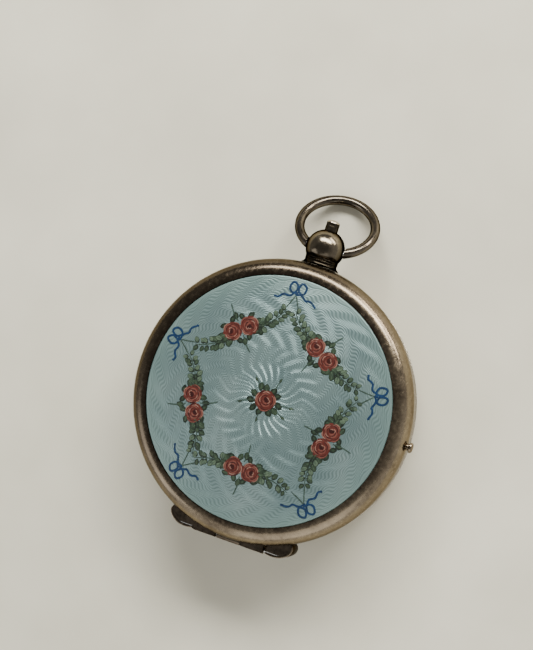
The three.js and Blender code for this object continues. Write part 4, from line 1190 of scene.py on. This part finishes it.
def train():
    o = (0.0, 0.0)
    teeth = toothed(64, 3.68, 0.09, 0.13, facing(o, THIRD))
    leaves = toothed(10, 0.82, 0.12, 0.18, mesh_phase(BARREL, o, 10))
    staff = [(0.31, 2.35), (0.42, 2.35), (0.42, 3.3), (0.62, 3.3)]
    staff += [(0.62, 3.6), (0.42, 3.6), (0.42, 6.15), (0.31, 6.15)]
    wheel("centre_wheel_fine", "centre_wheel", "centre_train", o, teeth, 3.1, 3.32, 0.9, 3.1, 4, 0.2,
        leaves, 4.65, 5.15, staff)
    teeth = toothed(60, 3.3, 0.08, 0.12, facing(THIRD, FOURTH))
    leaves = toothed(8, 0.46, 0.1, 0.12, mesh_phase(o, THIRD, 8))
    staff = arbor(0.3, 3.02, 5.25, 0.12, 2.45, 5.9)
    wheel("third_wheel_fine", "third_wheel", "third_train", THIRD, teeth, 4.2, 4.4, 0.7, 2.8, 4, 0.18,
        leaves, 3.05, 3.6, staff)
    teeth = toothed(60, 2.85, 0.07, 0.1, facing(FOURTH, ESCAPE))
    leaves = toothed(8, 0.44, 0.09, 0.12, mesh_phase(THIRD, FOURTH, 8))
    staff = arbor(0.26, 3.05, 5.25, 0.1, 2.45, 5.9)
    wheel("fourth_wheel_fine", "fourth_wheel", "seconds_train", FOURTH, teeth, 3.55, 3.72, 0.6, 2.4, 4, 0.16,
        leaves, 4.1, 4.6, staff)
    tooth = [(1.55, 0.0), (1.74, 0.03), (2.04, -0.06), (2.02, 0.02), (1.95, 0.12), (1.72, 0.10), (1.58, 0.16)]
    teeth = []
    for i in range(15):
        teeth += [polar(r, TAU * i / 15 + da) for r, da in tooth]
    leaves = toothed(6, 0.285, 0.08, 0.09, mesh_phase(FOURTH, ESCAPE, 6))
    staff = arbor(0.19, 3.4, 5.25, 0.08, 3.05, 5.9)
    wheel("escape_wheel_fine", "escape_wheel", "escape_train", ESCAPE, teeth, 4.55, 4.7, 0.5, 1.3, 3, 0.12,
        leaves, 3.45, 3.85, staff, M_STEEL)
    flat_piece("balance_rim", [circle(4.1, 96)] + crossings(0.65, 3.7, 3, 0.2), 2.35, 2.75, M_BRASS,
        "balance", 0.05, at(*BALANCE), ["balance_wheel"])
    spring = []
    turns = 9
    for i in range(turns * 40 + 1):
        a = TAU * i / 40
        r = 0.6 + 1.7 * i / (turns * 40)
        spring.append((r, a))
    half = 0.022
    outline = [polar(r + half, a) for r, a in spring] + [polar(r - half, a) for r, a in reversed(spring)]
    flat_piece("hairspring_coil", [outline], 2.12, 2.24, M_BLUED, "balance", 0.0, at(*BALANCE),
        ["hairspring"])
    teeth80 = toothed(80, 6.38, 0.12, 0.16, facing(BARREL, o))
    drum = [(0.8, 3.5), (5.9, 3.5), (5.9, 4.9), (5.5, 4.9), (5.5, 3.75), (0.8, 3.75)]
    m = at(*BARREL)
    turned("barrel_case", rounded(drum, 0.06, True), M_BRASS, "barrel", 96, True, m, ["barrel_drum"])
    flat_piece("barrel_teeth", [teeth80, hole(5.5, 72)], 4.75, 5.08, M_BRASS, "barrel", 0.02, m)
    ratchet = []
    for i in range(28):
        a = TAU * i / 28
        ratchet += [polar(1.62, a), polar(1.9, a + 0.02)]
    flat_piece("ratchet", [ratchet, hole(0.66, 24)], 1.86, 2.15, M_STEEL, "winding", 0.02, m,
        ["ratchet_wheel"])
    m = at(*MINUTE)
    teeth = toothed(30, 1.65, 0.07, 0.11, mesh_phase(o, MINUTE, 30))
    leaves = toothed(8, 0.44, 0.08, 0.1, facing(MINUTE, o))
    bore = hole(0.27, 20)
    flat_piece("minute_wheel_fine", [teeth, bore], 6.42, 6.58, M_BRASS, "minute_train", 0.015, m,
        ["minute_wheel"])
    flat_piece("minute_pinion", [leaves, bore], 6.56, 6.9, M_STEEL, "minute_train", 0.015, m)


def cad_finish():
    """CAD nodes whose shape is already right get materials and fine bevels."""
    finishes = {
        M_STEEL: [
            "lid_hinge_pin", "back_hinge_pin", "cuvette_hinge_pin", "lock_spring", "fly_spring",
            "balance_staff", "mainspring", "barrel_arbor", "click", "click_spring", "regulator",
            "cannon_pinion", "setting_arbor",
        ],
        M_BLUED: [
            "lock_spring_screw", "fly_spring_screw", "click_screw", "barrel_bridge_screw_1",
            "barrel_bridge_screw_2", "centre_bar_screw", "third_bar_screw", "fourth_bar_screw",
            "escape_cock_screw", "balance_cock_screw", "case_screw_1", "case_screw_2",
        ],
        M_BRASS: ["barrel_lid", "hour_wheel"],
        M_GILT: [
            "main_plate", "barrel_bridge", "centre_bar", "third_bar", "fourth_bar", "escape_cock",
            "balance_cock",
        ],
        M_RUBY: ["balance_jewel"],
    }
    for material, nodes in finishes.items():
        for name in nodes:
            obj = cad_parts[name]
            if not obj.material_slots:
                obj.data.materials.append(material)
            for s in obj.material_slots:
                s.material = material
            bevel = obj.modifiers.new("edge", "BEVEL")
            bevel.width = FINE_BEVEL
            bevel.segments = 2
            bevel.limit_method = "ANGLE"
            bevel.angle_limit = radians(35)
            bevel.harden_normals = False


lid()
enamel()
painting()
band()
back()
cuvette()
pendant()
push_piece()
bow()
stud()
dial_side()
hand("hour_hand_fine", 1.05, 0.76, 7.4, 0.46, 7.52, 7.68, HOUR_HAND_AT, "hour_train", "hour_hand")
hand("minute_hand_fine", 0.8, 0.45, 11.6, 0.40, 7.95, 8.1, MINUTE_HAND_AT, "centre_train", "minute_hand")
train()
cad_finish()


# Floor, camera and light -----------------------------------

FLOOR_SIZE = 0.6
FLOOR_GAP = 0.02 * MM
bpy.ops.mesh.primitive_plane_add(size=FLOOR_SIZE, location=(0, 0, -FLOOR_GAP))
floor = bpy.context.object
floor.name = "floor"
floor.data.materials.append(floor_material())

# The camera looks down on the lid from the 3 o'clock side, with 12 o'clock leaning right of upright in the
# picture. It is raised towards the picture's top, so that the watch sits low in it.
LENS = 104.2
SENSOR = 36.0
DISTANCE = 0.220
SIDE_TILT = radians(14)
TWELVE = radians(72)
RAISE = 0.00884
target = Vector((0, 0, 0.0108))
to_camera = Vector((sin(SIDE_TILT), 0, cos(SIDE_TILT)))
# the picture's right and up, so that +Y points at TWELVE in the picture
twelve = Vector((0, 1, 0))
three = twelve.cross(to_camera).normalized()
right = (three * sin(TWELVE) + twelve * cos(TWELVE)).normalized()
up = to_camera.cross(right).normalized()
camera = linked("camera", bpy.data.cameras.new("camera"))
camera.data.lens = LENS
camera.data.sensor_width = SENSOR
camera.data.clip_start = 0.01
camera.data.clip_end = 5
spot = target + to_camera * DISTANCE + up * RAISE
basis = Matrix((right, up, to_camera)).transposed()
camera.matrix_world = Matrix.Translation(spot) @ basis.to_4x4()
bpy.context.scene.camera = camera


def area(name, location, aim, size, power, colour, size_y=None):
    light = bpy.data.lights.new(name, "AREA")
    light.energy = power
    light.color = colour
    light.size = size
    if size_y:
        light.shape = "RECTANGLE"
        light.size_y = size_y
    obj = linked(name, light)
    obj.location = location
    obj.rotation_mode = "QUATERNION"
    obj.rotation_quaternion = (Vector(aim) - Vector(location)).to_track_quat("-Z", "Y")


WATCH_MIDDLE = (0, 0, 0.008)
area("window", (0.0, 0.36, 0.30), WATCH_MIDDLE, 0.50, 4.8, (1.0, 0.97, 0.89), 0.12)
area("low_window", (0.20, 0.36, 0.13), WATCH_MIDDLE, 0.26, 1.0, (1.0, 0.92, 0.80), 0.06)
area("left_window", (-0.31, -0.22, 0.23), WATCH_MIDDLE, 0.24, 0.4, (0.98, 0.98, 0.97))
area("fill", (0.14, -0.42, 0.30), WATCH_MIDDLE, 0.50, 0.9, (1.0, 0.98, 0.92))

# A studio brighter low down on the 5 o'clock side
BRIGHT_SIDE = radians(293)
world = bpy.data.worlds.new("studio")
bpy.context.scene.world = world
world.use_nodes = True
tree = world.node_tree
coords = tree.nodes.new("ShaderNodeTexCoord")
split = tree.nodes.new("ShaderNodeSeparateXYZ")
ramp = tree.nodes.new("ShaderNodeValToRGB")
tree.links.new(coords.outputs["Generated"], split.inputs[0])
tree.links.new(split.outputs["Z"], ramp.inputs["Fac"])
elements = ramp.color_ramp.elements
elements[0].position, elements[0].color = 0.0, (1.0, 0.97, 0.90, 1)
elements[1].position, elements[1].color = 1.0, (0.34, 0.33, 0.31, 1)
for position, value in ((0.45, 0.85), (0.78, 0.42)):
    elements.new(position).color = (value, value * 0.96, value * 0.89, 1)
dot = tree.nodes.new("ShaderNodeVectorMath")
dot.operation = "DOT_PRODUCT"
dot.inputs[1].default_value = (cos(BRIGHT_SIDE), sin(BRIGHT_SIDE), 0)
tree.links.new(coords.outputs["Generated"], dot.inputs[0])
side = tree.nodes.new("ShaderNodeMapRange")
for i, value in enumerate((-0.6, 0.7, 0.34, 1.0), 1):
    side.inputs[i].default_value = value
tree.links.new(dot.outputs["Value"], side.inputs[0])
tree.links.new(ramp.outputs["Color"], tree.nodes["Background"].inputs["Color"])
tree.links.new(side.outputs[0], tree.nodes["Background"].inputs["Strength"])
